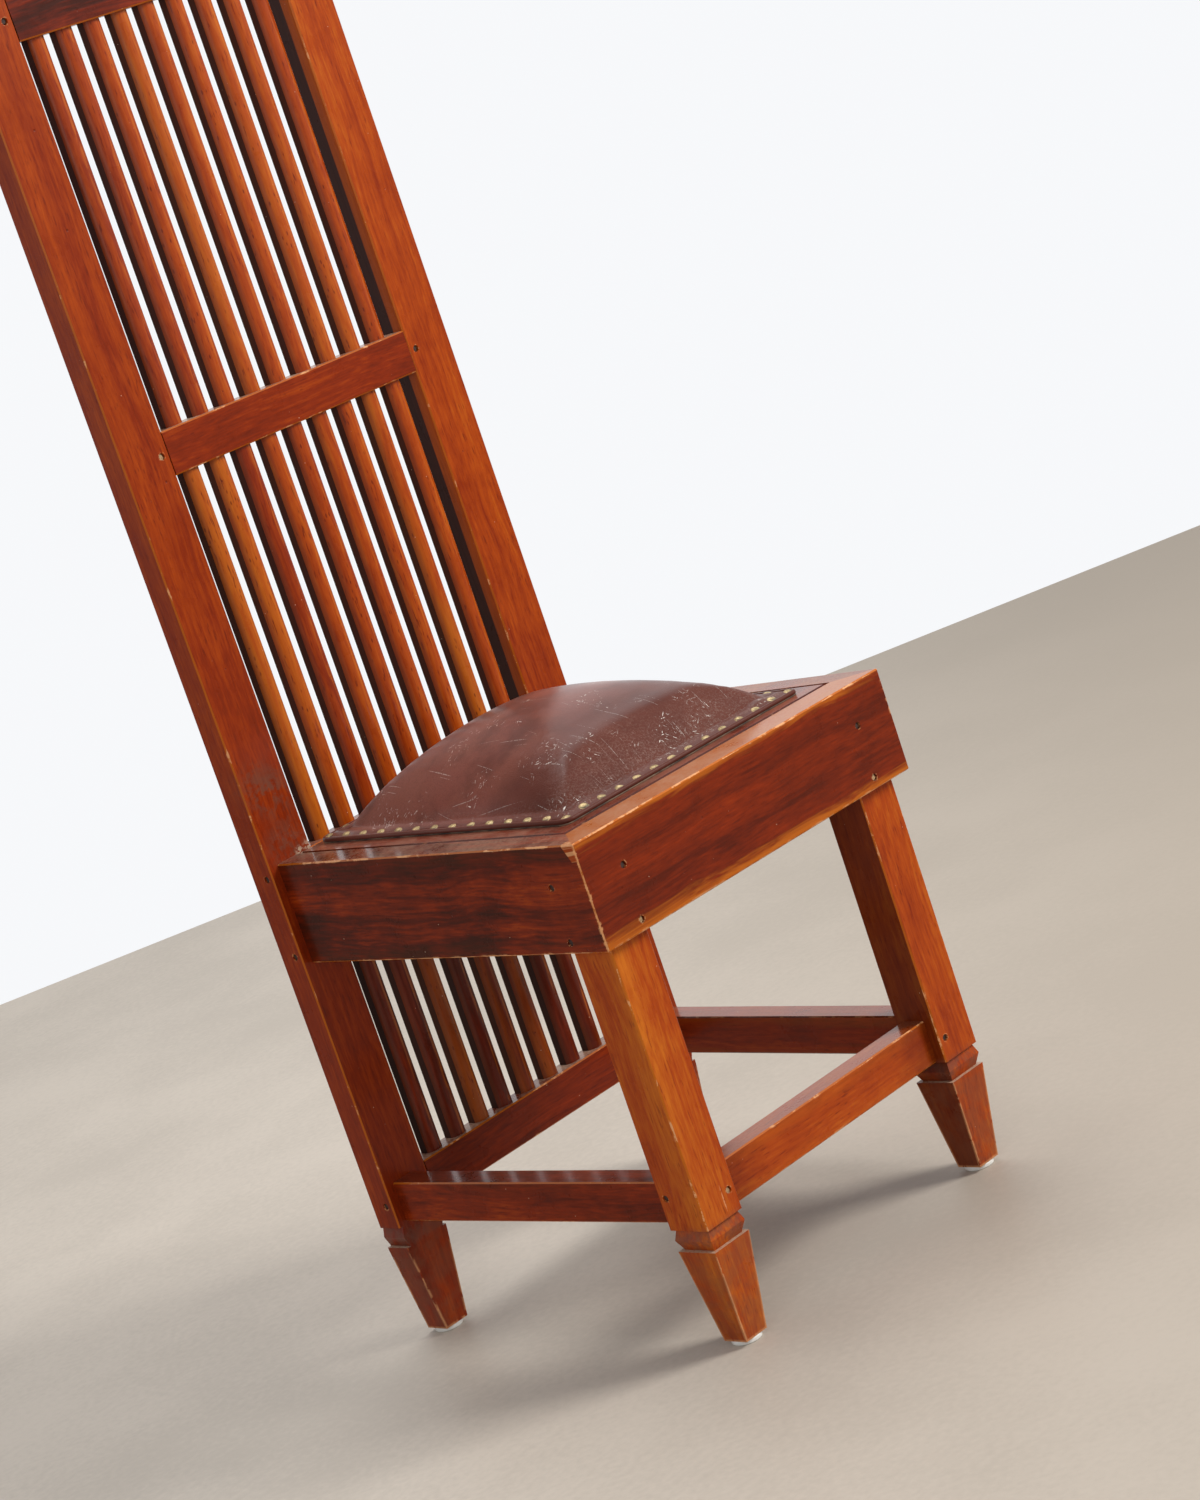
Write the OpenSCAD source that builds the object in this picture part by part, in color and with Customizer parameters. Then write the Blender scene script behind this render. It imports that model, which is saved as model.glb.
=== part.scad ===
// High-backed side chair in varnished hardwood with a drop-in leather seat.
// Millimetres, +Z up. The chair faces -Y and its feet stand on z = 0.
// Left and right are as seen from the front, so left is -X.

/* [Overall] */
// Width across the two back posts
back_w = 383; // [372:1:460]
// Depth from the front apron to the front of the back posts
seat_d = 374; // [320:1:460]
// Distance from a post's outer face to the side of the seat's front, further in
seat_front_in = 1.5; // [-20:0.5:7]
// Height of the aprons' top edge above the floor
seat_h = 440; // [400:1:480]
// Bevel along the edges of the chair's timbers
arris = 1.2; // [0.6:0.1:2]

/* [Back posts] */
// Width of a back post seen from the front
post_w = 49; // [46:0.5:56]
// Depth of a back post
post_d = 27; // [26:0.5:40]
// Height of the back posts above the crest rail
post_up = 15; // [5:0.5:60]
// Bevel round the top of a back post
post_top_bevel = 4; // [1:0.5:8]
// How far each side of the post's foot tapers in at the floor, seen from the front
post_toe_in_w = 11.8; // [4:0.1:14]
// How far the front and back of the post's foot taper in at the floor
post_toe_in_d = 1; // [0.2:0.1:3]

/* [Front legs] */
// Side of a front leg's square section
leg_w = 43; // [40:0.5:50]
// How far the side apron stands proud of the leg
apron_proud_side = 12.3; // [4:0.1:14]
// How far the front apron stands proud of the leg
apron_proud_front = 11.4; // [4:0.1:16]
// How far each side of the leg's foot tapers in at the floor
leg_toe_in = 9; // [4:0.1:13]

/* [Feet] */
// Height of the foot's top edge above the floor
foot_top_z = 87; // [60:0.5:120]
// Height of the moulded collar between the foot and the shaft
collar_h = 19; // [12:0.5:24]
// Height of the collar's sharp ridge above the foot
collar_ridge_h = 9.5; // [5:0.5:11]
// Inset of the foot's top edge from the shaft's face
foot_top_in = 0.7; // [0.2:0.1:2]
// Inset of the neck between the foot and the collar
neck_in = 4.8; // [2.5:0.1:6]
// Inset of the collar's ridge
ridge_in = 1; // [0.2:0.1:2]
// Inset of the collar where it meets the shaft
collar_top_in = 3.8; // [2.5:0.1:6]
// Diameter of the plastic glide under a foot
glide_d = 26; // [20:0.5:27]
// Height of the glide under the foot
glide_h = 4; // [3:0.5:8]
// Diameter of the glide's shank
glide_shank_d = 4; // [2.5:0.1:6]
// Length of the glide's shank inside the foot
glide_shank_l = 12; // [8:0.5:25]

/* [Back rails] */
// Height of the middle rail and the bottom rail
rail_h = 38; // [34:0.5:46]
// Height of the crest rail
crest_h = 38; // [36:0.5:80]
// Thickness of the back rails
rail_t = 22; // [20:0.5:25]
// Height of the bottom rail's lower edge above the collars
bottom_rail_up = 2.5; // [0:0.5:30]
// Height of the middle rail's lower edge above the floor
middle_rail_z = 772.8; // [700:0.1:850]
// Height of the crest rail's lower edge above the floor
crest_rail_z = 1143.3; // [1050:0.1:1300]

/* [Spindles] */
// Spindles between each pair of rails
spindles = 9; // [5:1:9]
// Gap between a post and its nearest spindle
spindle_end_gap = 13.8; // [8:0.1:20]
// Width of a spindle seen from the front
spindle_w = 17.5; // [14:0.1:22]
// Depth of a spindle from its rounded front to its flat back
spindle_d = 13.4; // [11:0.1:14]
// Bulge of the spindle's rounded front
spindle_bulge = 5; // [2:0.1:6]
// Distance that the spindle's front is set back from the rail's front
spindle_in = 5; // [3:0.1:6]
// Length of the tenon at each end of a spindle
spindle_tenon_l = 10; // [6:0.5:14]
// Width of a spindle's tenon
spindle_tenon_w = 10; // [7:0.5:12]
// Thickness of a spindle's tenon
spindle_tenon_t = 7; // [5:0.5:8]
// Shoulder behind a spindle's tenon
spindle_shoulder = 1; // [0.5:0.1:2]

/* [Aprons] */
// Height of the aprons and the back seat rail
apron_h = 90; // [78:0.5:110]
// Distance from the post's outer face to the side apron's
apron_in_back = 9.5; // [6:0.1:12]
// Thickness of the side aprons
side_apron_t = 26; // [24:0.5:30]
// Thickness of the front apron
front_apron_t = 34; // [26:0.5:36]

/* [Stretchers] */
// Height of the side stretchers
side_stretcher_h = 36; // [30:0.5:44]
// Height of the side stretchers' lower edge above the collars
side_stretcher_up = 2.5; // [0:0.5:30]
// Height of the front stretcher
front_stretcher_h = 38; // [30:0.5:44]
// Height of the front stretcher's lower edge above the collars
front_stretcher_up = 0.5; // [0:0.5:30]
// Thickness of the stretchers
stretcher_t = 24; // [20:0.5:26]
// Distance from the post's outer face to the side stretcher's
stretcher_in_back = 9.5; // [6:0.1:12]
// Distance from the leg's outer face to the side stretcher's
stretcher_in_front = 8; // [4:0.1:9]
// Distance from the leg's front face to the front stretcher's
front_stretcher_in = 10.7; // [6:0.1:12]

/* [Joinery] */
// Thickness of the tenons on rails, aprons and stretchers
tenon_t = 10; // [8:0.5:11]
// Shoulder above and below a tenon
tenon_shoulder = 5; // [3:0.5:8]
// Length of the tenons that enter a post or leg along the chair's depth
long_tenon_l = 21; // [15:0.5:22]
// Length of the front stretcher's tenons
short_tenon_l = 13; // [8:0.5:14]
// Wood left in a post between two tenons that meet
tenon_web = 3.5; // [2:0.5:5]
// Clearance round every tenon in its mortise
joint_gap = 0.1; // [0.05:0.01:0.3]
// Glue space at the bottom of every mortise
mortise_extra = 1; // [0.5:0.1:2]
// Diameter of the wooden pegs
peg_d = 6; // [4:0.1:7]
// Distance that a peg's end is sunk below the surface
peg_sink = 1.2; // [0.5:0.1:3]
// Distance from a joint's shoulder to the peg that locks it
peg_in = 8; // [6:0.1:9]
// Length of a peg past the tenon that it locks
peg_past = 2; // [1:0.1:3]
// Extra height of the peg through the front of a side stretcher
leg_peg_up = 7.5; // [0:0.5:8]
// Distance from an apron's edge to the pegs near it
apron_peg_in = 9.5; // [8:0.5:20]
// Extra distance of the upper corner pegs from the apron's top edge
corner_peg_drop = 25; // [20:0.5:36]
// Depth that a corner peg reaches into the leg's stub
corner_peg_grip = 10; // [6:0.5:11]
// Distance from the stub's inner side to the pegs in the front apron
corner_peg_in_w = 12; // [8:0.5:13]
// Distance from the stub's back to the pegs in the side apron
corner_peg_in_d = 14; // [8:0.5:14]
// Clearance round a peg, screw or shank in its hole
hole_gap = 0.05; // [0.02:0.01:0.2]

/* [Corner blocks] */
// Height of the corner blocks
block_h = 45; // [30:0.5:50]
// Length of a back corner block along the rail and the apron
block_w = 46; // [42:0.5:60]
// Length of a front corner block beyond the leg's stub
front_block_w = 32; // [30:0.5:45]
// Distance from the corner to a back block's screws
back_screw_in = 28; // [24:0.5:30]
// Distance from the leg's stub to a front block's screws
front_screw_in = 8; // [6:0.5:12]
// Shank diameter of the block screws
screw_d = 4; // [3:0.1:5]
// Head diameter of the block screws
screw_head_d = 8; // [6.5:0.1:10]
// Head height of the block screws
screw_head_h = 3; // [2:0.1:4]
// Wood under the screw's head
screw_seat = 9; // [6:0.5:10]
// Length of the screw's shank
screw_l = 24; // [16:0.5:26]

/* [Drop-in seat] */
// Thickness of the seat frame
seat_frame_t = 22; // [18:0.5:26]
// Height that the seat frame stands above the aprons
seat_frame_proud = 0; // [0:0.1:5]
// Width of the seat frame's rails
seat_rail_w = 50; // [45:0.5:60]
// Gap between the seat frame and the side aprons
seat_gap = 1.2; // [0.5:0.1:3]
// Gap between the seat frame and the front apron
seat_gap_front = 2.5; // [0.5:0.1:4]
// Gap under the resting seat frame
seat_rest_gap = 0.2; // [0.1:0.05:0.3]
// Thickness of the seat board
seat_board_t = 6; // [4:0.5:8]
// Width of the rebate that carries the seat board
seat_rebate_w = 10; // [6:0.5:12]
// Thickness of the seat frame's tenons
seat_tenon_t = 7; // [5:0.5:8]
// Length of the seat frame's tenons
seat_tenon_l = 25; // [15:0.5:32]
// Width of the seat frame's tenons
seat_tenon_w = 24; // [15:0.5:32]

/* [Leather pad] */
// Wood that shows beside the leather
pad_margin = 16.5; // [4:0.5:20]
// Wood that shows in front of the leather
pad_margin_front = 12.5; // [4:0.5:20]
// Wood that shows behind the leather
pad_margin_back = 6; // [3:0.5:12]
// Thickness of the leather's folded edge
leather_edge_t = 4; // [3:0.1:7]
// Bulge of the folded edge past its foot
leather_edge_bulge = 0.8; // [0.2:0.1:1.5]
// Thickness of the leather over the stuffing
leather_t = 2; // [1.2:0.1:2.8]
// Width of the flat band that the nails hold down
nail_band_w = 14; // [12:0.5:18]
// Height of the crown above the nailed band
crown_h = 61; // [30:1:70]
// Flatness of the crown's top
crown_flat = 2.3; // [1.6:0.1:4]
// Roundness of the crown's sides, where 1 is a straight slope at the band
crown_round = 0.82; // [0.6:0.02:1]
// Distance that the straight edges are drawn in between the corners
draw_in = 1.5; // [0:0.1:4]
// Radius of the pad's corners, seen from above
pad_corner_r = 10; // [6:0.5:24]
// Nails along the front edge
front_nails = 14; // [10:1:16]
// Nails along each side edge
side_nails = 14; // [10:1:16]
// Nails along the back edge
back_nails = 14; // [10:1:16]
// Diameter of a nail's head
nail_head_d = 10; // [8:0.1:11]
// Height of a nail's head
nail_head_h = 2.4; // [1.5:0.1:3]
// Diameter of a nail's shank
nail_shank_d = 1.8; // [1.2:0.1:2.2]
// Length of a nail's shank
nail_shank_l = 14; // [10:0.5:18]

/* [Hidden] */
$fn = 48;

WOOD = "#8a3a1c";
WOOD_DARK = "#6e2c18";
LEATHER = "#50302c";
BRASS = "#a88a50";
PLASTIC = "#e6e4de";
STEEL = "#8c8c8c";
JUTE = "#b09a6e";

// Sides of the timbers, with y = 0 on the front of the back posts
post_out_x = back_w / 2;
post_in_x = post_out_x - post_w;
seat_front_w = back_w - 2 * seat_front_in;
leg_out_x = seat_front_w / 2 - apron_proud_side;
leg_in_x = leg_out_x - leg_w;
leg_front_y = -seat_d + apron_proud_front;
leg_back_y = leg_front_y + leg_w;
apron_back_y = -seat_d + front_apron_t;
apron_z = seat_h - apron_h;

// Half the seat's width at a place along its depth
seat_back_w = back_w - 2 * apron_in_back;
seat_flare = (seat_front_w - seat_back_w) / 2 / seat_d;
flare_angle = atan(seat_flare);
function apron_out_x(y) = seat_back_w / 2 - seat_flare * y;
function apron_in_x(y) = apron_out_x(y) - side_apron_t;
function seat_out_x(y) = apron_in_x(y) - seat_gap;
function pad_out_x(y) = seat_out_x(y) - pad_margin;

// Levels of the rails and stretchers
collar_z = foot_top_z + collar_h;
bottom_rail_z = collar_z + bottom_rail_up;
side_stretcher_z = collar_z + side_stretcher_up;
front_stretcher_z = collar_z + front_stretcher_up;
post_top_z = crest_rail_z + crest_h + post_up;

// Centre lines of the stretchers, and of the side apron's tenon
stretcher_back_x = post_out_x - stretcher_in_back - stretcher_t / 2;
stretcher_front_x = leg_out_x - stretcher_in_front - stretcher_t / 2;
front_stretcher_y = leg_front_y + front_stretcher_in + stretcher_t / 2;
apron_tenon_x = apron_out_x(0) - side_apron_t / 2;

// The rails' tenons stop short of the tenons that enter the post from the front
side_tenon_in_x = min(apron_tenon_x, stretcher_back_x) - tenon_t / 2;
rail_tenon_l = side_tenon_in_x - tenon_web - post_in_x;
rail_tenon_y = rail_t / 2;

spindle_pitch = 2 * (post_in_x - spindle_end_gap - spindle_w / 2) / (spindles - 1);
function spindle_x(i) = (i - (spindles + 1) / 2) * spindle_pitch;

// Levels and edges of the drop-in seat
seat_top_z = seat_h + seat_frame_proud;
seat_under_z = seat_top_z - seat_frame_t;
block_top_z = seat_under_z - seat_rest_gap;
seat_front_y = apron_back_y + seat_gap_front;
seat_back_y = -seat_gap;
pad_front_y = seat_front_y + pad_margin_front;
pad_back_y = seat_back_y - pad_margin_back;
pad_mid_y = (pad_front_y + pad_back_y) / 2;
pad_half_l = (pad_back_y - pad_front_y) / 2;
band_top_z = seat_top_z + leather_edge_t;
nail_in = nail_band_w / 2;

// Moves a piece from the joints' frame to the chair's centre
module on_chair() {
    translate([0, (seat_d - post_d) / 2, 0]) children();
}

module right_hand() {
    mirror([1, 0, 0]) children();
}

module both_hands() {
    children();
    right_hand() children();
}

// A box between two corners
module box(low, high) {
    translate(low) cube(high - low);
}

// A box grown by a gap on every side
module grown_box(low, high, gap) {
    grow = [gap, gap, gap];
    box(low - grow, high + grow);
}

// One corner of an outline, cut back by b towards each neighbour
function cut_corner(p, before, after, b) = b > 0 ? [p + b * before, p + b * after] : [p];

// A rectangle from x = -w / 2 and y = 0, with corners cut by b, anticlockwise from bottom left
function bevelled_rectangle(w, h, b) = concat(
    cut_corner([-w / 2, 0], [0, 1], [1, 0], b[0]),
    cut_corner([w / 2, 0], [-1, 0], [0, 1], b[1]),
    cut_corner([w / 2, h], [0, -1], [-1, 0], b[2]),
    cut_corner([-w / 2, h], [1, 0], [0, -1], b[3])
);

// A level bar from one place to another, reaching past both ends by over
module bar(from, to, w, h, z, bevels, over = 0) {
    run = to - from;
    translate([from[0], from[1], z])
        rotate([0, 0, atan2(run[1], run[0])])
        translate([-over, 0, 0])
        rotate([90, 0, 90])
        linear_extrude(norm(run) + 2 * over) polygon(bevelled_rectangle(w, h, bevels));
}

ALL_EDGES = [arris, arris, arris, arris];
TOP_EDGES = [0, 0, arris, arris];

// A moulded side of a leg from the floor up, as [inset, height]
function moulded_side(toe_in, top_z, bevel) = [
    [toe_in, glide_h],
    [foot_top_in, foot_top_z],
    [neck_in, foot_top_z],
    [ridge_in, foot_top_z + collar_ridge_h],
    [collar_top_in, collar_z],
    [0, collar_z],
    [0, top_z - bevel],
    [bevel, top_z]
];

// A side of a leg without the collar, as [inset, height]
function plain_side(toe_in, top_z, bevel) = [
    [toe_in, glide_h],
    [0, foot_top_z],
    [0, top_z - bevel],
    [bevel, top_z]
];

module leg_outline(w, side) {
    last = len(side) - 1;
    polygon(concat(
        [for (p = side) [w / 2 - p[0], p[1]]],
        [for (i = [last:-1:0]) [side[i][0] - w / 2, side[i][1]]]
    ));
}

// A leg of w by d from x = 0 and y = 0, with one outline for its sides and one for its front and back
module moulded_leg(w, d, across, along, top_z) {
    translate([w / 2, 0, 0]) intersection() {
        translate([0, d, 0]) rotate([90, 0, 0])
            linear_extrude(d) leg_outline(w, across);
        translate([-w / 2, d / 2, 0]) rotate([90, 0, 90])
            linear_extrude(w) leg_outline(d, along);
        linear_extrude(top_z) polygon(bevelled_rectangle(w, d, ALL_EDGES));
    }
}

// The tenons of the left half. A cut is the mortise, with clearance and glue space
module rail_tenon(z, h, cut) {
    extra = cut ? mortise_extra : 0;
    grown_box([-post_in_x - rail_tenon_l - extra, rail_tenon_y - tenon_t / 2, z + tenon_shoulder],
              [-post_in_x + extra, rail_tenon_y + tenon_t / 2, z + h - tenon_shoulder],
              cut ? joint_gap : 0);
}

module post_front_tenon(x, z, h, cut) {
    extra = cut ? mortise_extra : 0;
    grown_box([-x - tenon_t / 2, -extra, z + tenon_shoulder],
              [-x + tenon_t / 2, long_tenon_l + extra, z + h - tenon_shoulder],
              cut ? joint_gap : 0);
}

module leg_back_tenon(cut) {
    extra = cut ? mortise_extra : 0;
    low_z = side_stretcher_z + tenon_shoulder;
    high_z = side_stretcher_z + side_stretcher_h - tenon_shoulder;
    grown_box([-stretcher_front_x - tenon_t / 2, leg_back_y - long_tenon_l - extra, low_z],
              [-stretcher_front_x + tenon_t / 2, leg_back_y + extra, high_z],
              cut ? joint_gap : 0);
}

module leg_side_tenon(cut) {
    extra = cut ? mortise_extra : 0;
    low_z = front_stretcher_z + tenon_shoulder;
    high_z = front_stretcher_z + front_stretcher_h - tenon_shoulder;
    grown_box([-leg_in_x - short_tenon_l - extra, front_stretcher_y - tenon_t / 2, low_z],
              [-leg_in_x + extra, front_stretcher_y + tenon_t / 2, high_z],
              cut ? joint_gap : 0);
}

// A peg along +Z from a surface at z = 0 to its tip, or its hole
module peg(tip, cut) {
    start = cut ? -mortise_extra : peg_sink;
    stop = tip + (cut ? hole_gap : 0);
    translate([0, 0, start]) cylinder(h = stop - start, d = peg_d + (cut ? 2 * hole_gap : 0));
}

// A peg driven backwards from a front face at y
module peg_in_front(x, y, z, tip, cut) {
    translate([x, y, z]) rotate([-90, 0, 0]) peg(tip, cut);
}

// A peg driven inwards from a left side face at x
module peg_in_side(x, y, z, tip, cut) {
    translate([x, y, z]) rotate([0, 90, 0]) peg(tip, cut);
}

// The two pegs that fix an apron corner to the leg's stub at one height
module corner_pegs(z, cut) {
    y = leg_back_y - corner_peg_in_d;
    peg_in_side(-apron_out_x(y), y, z, side_apron_t + corner_peg_grip, cut);
    peg_in_front(-leg_in_x - corner_peg_in_w, -seat_d, z, front_apron_t + corner_peg_grip, cut);
}

// All pegs of the left half
module left_pegs(cut) {
    past = tenon_t / 2 + peg_past;
    low_peg_z = apron_z + apron_peg_in;
    high_peg_z = seat_h - apron_peg_in;
    stretcher_peg_z = side_stretcher_z + side_stretcher_h / 2;
    rail_pegs_z = [
        bottom_rail_z + rail_h / 2,
        apron_z + apron_h / 2,
        middle_rail_z + rail_h / 2,
        crest_rail_z + crest_h / 2
    ];
    for (z = rail_pegs_z)
        peg_in_front(-post_in_x - peg_in, 0, z, rail_tenon_y + past, cut);
    for (z = [low_peg_z, high_peg_z])
        peg_in_side(-post_out_x, peg_in, z, post_out_x - apron_tenon_x + past, cut);
    peg_in_side(-post_out_x, peg_in, stretcher_peg_z, post_out_x - stretcher_back_x + past, cut);
    peg_in_side(-leg_out_x, leg_back_y - peg_in, stretcher_peg_z + leg_peg_up,
                leg_out_x - stretcher_front_x + past, cut);
    peg_in_front(-leg_in_x - peg_in, leg_front_y, front_stretcher_z + front_stretcher_h / 2,
                 front_stretcher_y - leg_front_y + past, cut);
    for (z = [low_peg_z, high_peg_z - corner_peg_drop])
        corner_pegs(z, cut);
}

module peg_holes() {
    both_hands() left_pegs(true);
}

// A block screw driven towards +Y, with the underside of its head at the origin
module block_screw(cut) {
    gap = cut ? hole_gap : 0;
    rotate([-90, 0, 0]) cylinder(h = screw_l + gap, d = screw_d + 2 * gap);
    rotate([90, 0, 0]) cylinder(h = cut ? block_w : screw_head_h, d = screw_head_d + 2 * gap);
}

// The screws of the left half's blocks, one into each neighbouring timber
module left_block_screws(cut) {
    z = block_top_z - block_h / 2;
    front_y = leg_back_y + front_screw_in;
    translate([back_screw_in - apron_in_x(0), -screw_seat, z]) block_screw(cut);
    translate([screw_seat - apron_in_x(-back_screw_in), -back_screw_in, z])
        rotate([0, 0, 90]) block_screw(cut);
    translate([front_screw_in - leg_in_x, apron_back_y + screw_seat, z])
        rotate([0, 0, 180]) block_screw(cut);
    translate([screw_seat - apron_in_x(front_y), front_y, z])
        rotate([0, 0, 90]) block_screw(cut);
}

module screw_holes() {
    both_hands() left_block_screws(true);
}

// The shank of a glide in the middle of a foot, or its hole
module glide_shank(x, y, cut) {
    gap = cut ? hole_gap : 0;
    low_z = cut ? 0 : glide_h / 2;
    translate([x, y, low_z])
        cylinder(h = glide_h + glide_shank_l + gap - low_z, d = glide_shank_d + 2 * gap);
}

module glide(x, y) {
    r = glide_d / 2;
    edge = glide_h / 4;
    color(PLASTIC) union() {
        translate([x, y, 0]) rotate_extrude()
            polygon([
                [0, 0], [r - edge, 0], [r, edge],
                [r, glide_h - edge], [r - edge, glide_h], [0, glide_h]
            ]);
        glide_shank(x, y, false);
    }
}

module back_post() {
    color(WOOD) difference() {
        translate([-post_out_x, 0, 0])
            moulded_leg(post_w, post_d, moulded_side(post_toe_in_w, post_top_z, post_top_bevel),
                        plain_side(post_toe_in_d, post_top_z, post_top_bevel), post_top_z);
        rail_tenon(bottom_rail_z, rail_h, true);
        rail_tenon(apron_z, apron_h, true);
        rail_tenon(middle_rail_z, rail_h, true);
        rail_tenon(crest_rail_z, crest_h, true);
        post_front_tenon(apron_tenon_x, apron_z, apron_h, true);
        post_front_tenon(stretcher_back_x, side_stretcher_z, side_stretcher_h, true);
        glide_shank(post_w / 2 - post_out_x, post_d / 2, true);
        peg_holes();
    }
}

// The leg's top is cut back to a stub that stands inside the aprons' corner
module front_leg() {
    color(WOOD) difference() {
        translate([-leg_out_x, leg_front_y, 0])
            moulded_leg(leg_w, leg_w, moulded_side(leg_toe_in, block_top_z, arris),
                        moulded_side(leg_toe_in, block_top_z, arris), block_top_z);
        side_apron_plan();
        front_apron_plan();
        leg_back_tenon(true);
        leg_side_tenon(true);
        glide_shank(leg_w / 2 - leg_out_x, leg_front_y + leg_w / 2, true);
        peg_holes();
    }
}

// A spindle's section in plan: a round front, flat sides and a flat back
module spindle_section() {
    r = (spindle_w * spindle_w / 4 + spindle_bulge * spindle_bulge) / (2 * spindle_bulge);
    intersection() {
        translate([0, spindle_in + r]) circle(r = r);
        translate([-spindle_w / 2, spindle_in]) square([spindle_w, spindle_d]);
    }
}

// The tenon bar that runs through a spindle and out at both ends, or its mortise
module spindle_core(i, low_z, high_z, gap) {
    back_y = spindle_in + spindle_d - spindle_shoulder;
    grown_box([spindle_x(i) - spindle_tenon_w / 2, back_y - spindle_tenon_t, low_z],
              [spindle_x(i) + spindle_tenon_w / 2, back_y, high_z], gap);
}

module spindle(i, low_z, high_z) {
    color(WOOD_DARK) union() {
        translate([spindle_x(i), 0, low_z]) linear_extrude(high_z - low_z) spindle_section();
        spindle_core(i, low_z - spindle_tenon_l, high_z + spindle_tenon_l, 0);
    }
}

// Mortises for one row of spindles that end at a rail's edge
module spindle_mortises(z) {
    reach = spindle_tenon_l + mortise_extra;
    for (i = [1:spindles])
        spindle_core(i, z - reach, z + reach, joint_gap);
}

// A back rail with its tenons, and mortises in the edges that carry spindles
module back_rail(z, h, spindles_below, spindles_above) {
    color(WOOD) difference() {
        union() {
            bar([-post_in_x, rail_t / 2], [post_in_x, rail_t / 2], rail_t, h, z, ALL_EDGES);
            both_hands() rail_tenon(z, h, false);
        }
        if (spindles_below) spindle_mortises(z);
        if (spindles_above) spindle_mortises(z + h);
        peg_holes();
        screw_holes();
    }
}

// The aprons' full blocks, mitred at the front corners
module side_apron_plan() {
    translate([0, 0, apron_z]) linear_extrude(apron_h) polygon([
        [-apron_out_x(0), 0],
        [-apron_out_x(-seat_d), -seat_d],
        [-apron_in_x(apron_back_y), apron_back_y],
        [-apron_in_x(0), 0]
    ]);
}

module front_apron_plan() {
    translate([0, 0, apron_z]) linear_extrude(apron_h) polygon([
        [-seat_front_w / 2, -seat_d],
        [seat_front_w / 2, -seat_d],
        [apron_in_x(apron_back_y), apron_back_y],
        [-apron_in_x(apron_back_y), apron_back_y]
    ]);
}

// A slim upright prism that bevels the mitred corner of the aprons
module apron_corner_bevel() {
    side = arris * sqrt(2);
    translate([-seat_front_w / 2, -seat_d, apron_z + apron_h / 2])
        rotate([0, 0, 45])
        cube([side, side, 2 * apron_h], center = true);
}

module side_apron() {
    half = side_apron_t / 2;
    color(WOOD) difference() {
        union() {
            intersection() {
                side_apron_plan();
                bar([half - apron_out_x(-seat_d), -seat_d], [half - apron_out_x(0), 0],
                    side_apron_t * cos(flare_angle), apron_h, apron_z, [0, arris, arris, arris], half);
            }
            post_front_tenon(apron_tenon_x, apron_z, apron_h, false);
        }
        apron_corner_bevel();
        peg_holes();
        screw_holes();
    }
}

module front_apron() {
    y = -seat_d + front_apron_t / 2;
    color(WOOD) difference() {
        intersection() {
            front_apron_plan();
            bar([-seat_front_w / 2, y], [seat_front_w / 2, y],
                front_apron_t, apron_h, apron_z, [arris, 0, arris, arris]);
        }
        both_hands() apron_corner_bevel();
        peg_holes();
        screw_holes();
    }
}

module side_stretcher() {
    toe_angle = atan((stretcher_back_x - stretcher_front_x) / leg_back_y);
    color(WOOD) difference() {
        union() {
            intersection() {
                bar([-stretcher_back_x, 0], [-stretcher_front_x, leg_back_y], stretcher_t * cos(toe_angle),
                    side_stretcher_h, side_stretcher_z, ALL_EDGES, stretcher_t);
                box([-post_out_x, leg_back_y, 0], [0, 0, seat_h]);
            }
            post_front_tenon(stretcher_back_x, side_stretcher_z, side_stretcher_h, false);
            leg_back_tenon(false);
        }
        peg_holes();
    }
}

module front_stretcher() {
    color(WOOD) difference() {
        union() {
            bar([-leg_in_x, front_stretcher_y], [leg_in_x, front_stretcher_y],
                stretcher_t, front_stretcher_h, front_stretcher_z, ALL_EDGES);
            both_hands() leg_side_tenon(false);
        }
        peg_holes();
    }
}

module back_block() {
    color(WOOD_DARK) difference() {
        translate([0, 0, block_top_z - block_h]) linear_extrude(block_h) polygon([
            [-apron_in_x(0), 0],
            [-apron_in_x(-block_w), -block_w],
            [block_w - apron_in_x(0), 0]
        ]);
        screw_holes();
    }
}

// The front block hugs the leg's stub inside the corner
module front_block() {
    y = leg_back_y + front_block_w;
    color(WOOD_DARK) difference() {
        translate([0, 0, block_top_z - block_h]) linear_extrude(block_h) polygon([
            [-leg_in_x, apron_back_y],
            [front_block_w - leg_in_x, apron_back_y],
            [-apron_in_x(y), y],
            [-apron_in_x(leg_back_y), leg_back_y],
            [-leg_in_x, leg_back_y]
        ]);
        screw_holes();
    }
}

// A wide slab that bevels the seat frame's left top edge
module seat_left_slab() {
    w = seat_front_w;
    over = seat_d;
    translate([-seat_out_x(0), 0, seat_under_z])
        rotate([0, 0, -flare_angle])
        translate([w / 2 * cos(flare_angle), over, 0])
        rotate([90, 0, 0])
        linear_extrude(3 * over)
        polygon(bevelled_rectangle(w * cos(flare_angle), seat_frame_t, [0, 0, 0, arris]));
}

// The whole seat frame as one bevelled slab
module seat_slab() {
    w = seat_front_w;
    d = seat_back_y - seat_front_y;
    y = (seat_back_y + seat_front_y) / 2;
    intersection() {
        bar([-w / 2, y], [w / 2, y], d, seat_frame_t, seat_under_z, TOP_EDGES);
        seat_left_slab();
        right_hand() seat_left_slab();
    }
}

// The seat board's outline, or its rebate's with a gap
module seat_board_plan(gap) {
    in = seat_rail_w - seat_rebate_w - gap;
    front = seat_front_y + in;
    back = seat_back_y - in;
    polygon([
        [in - seat_out_x(front), front],
        [seat_out_x(front) - in, front],
        [seat_out_x(back) - in, back],
        [in - seat_out_x(back), back]
    ]);
}

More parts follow.
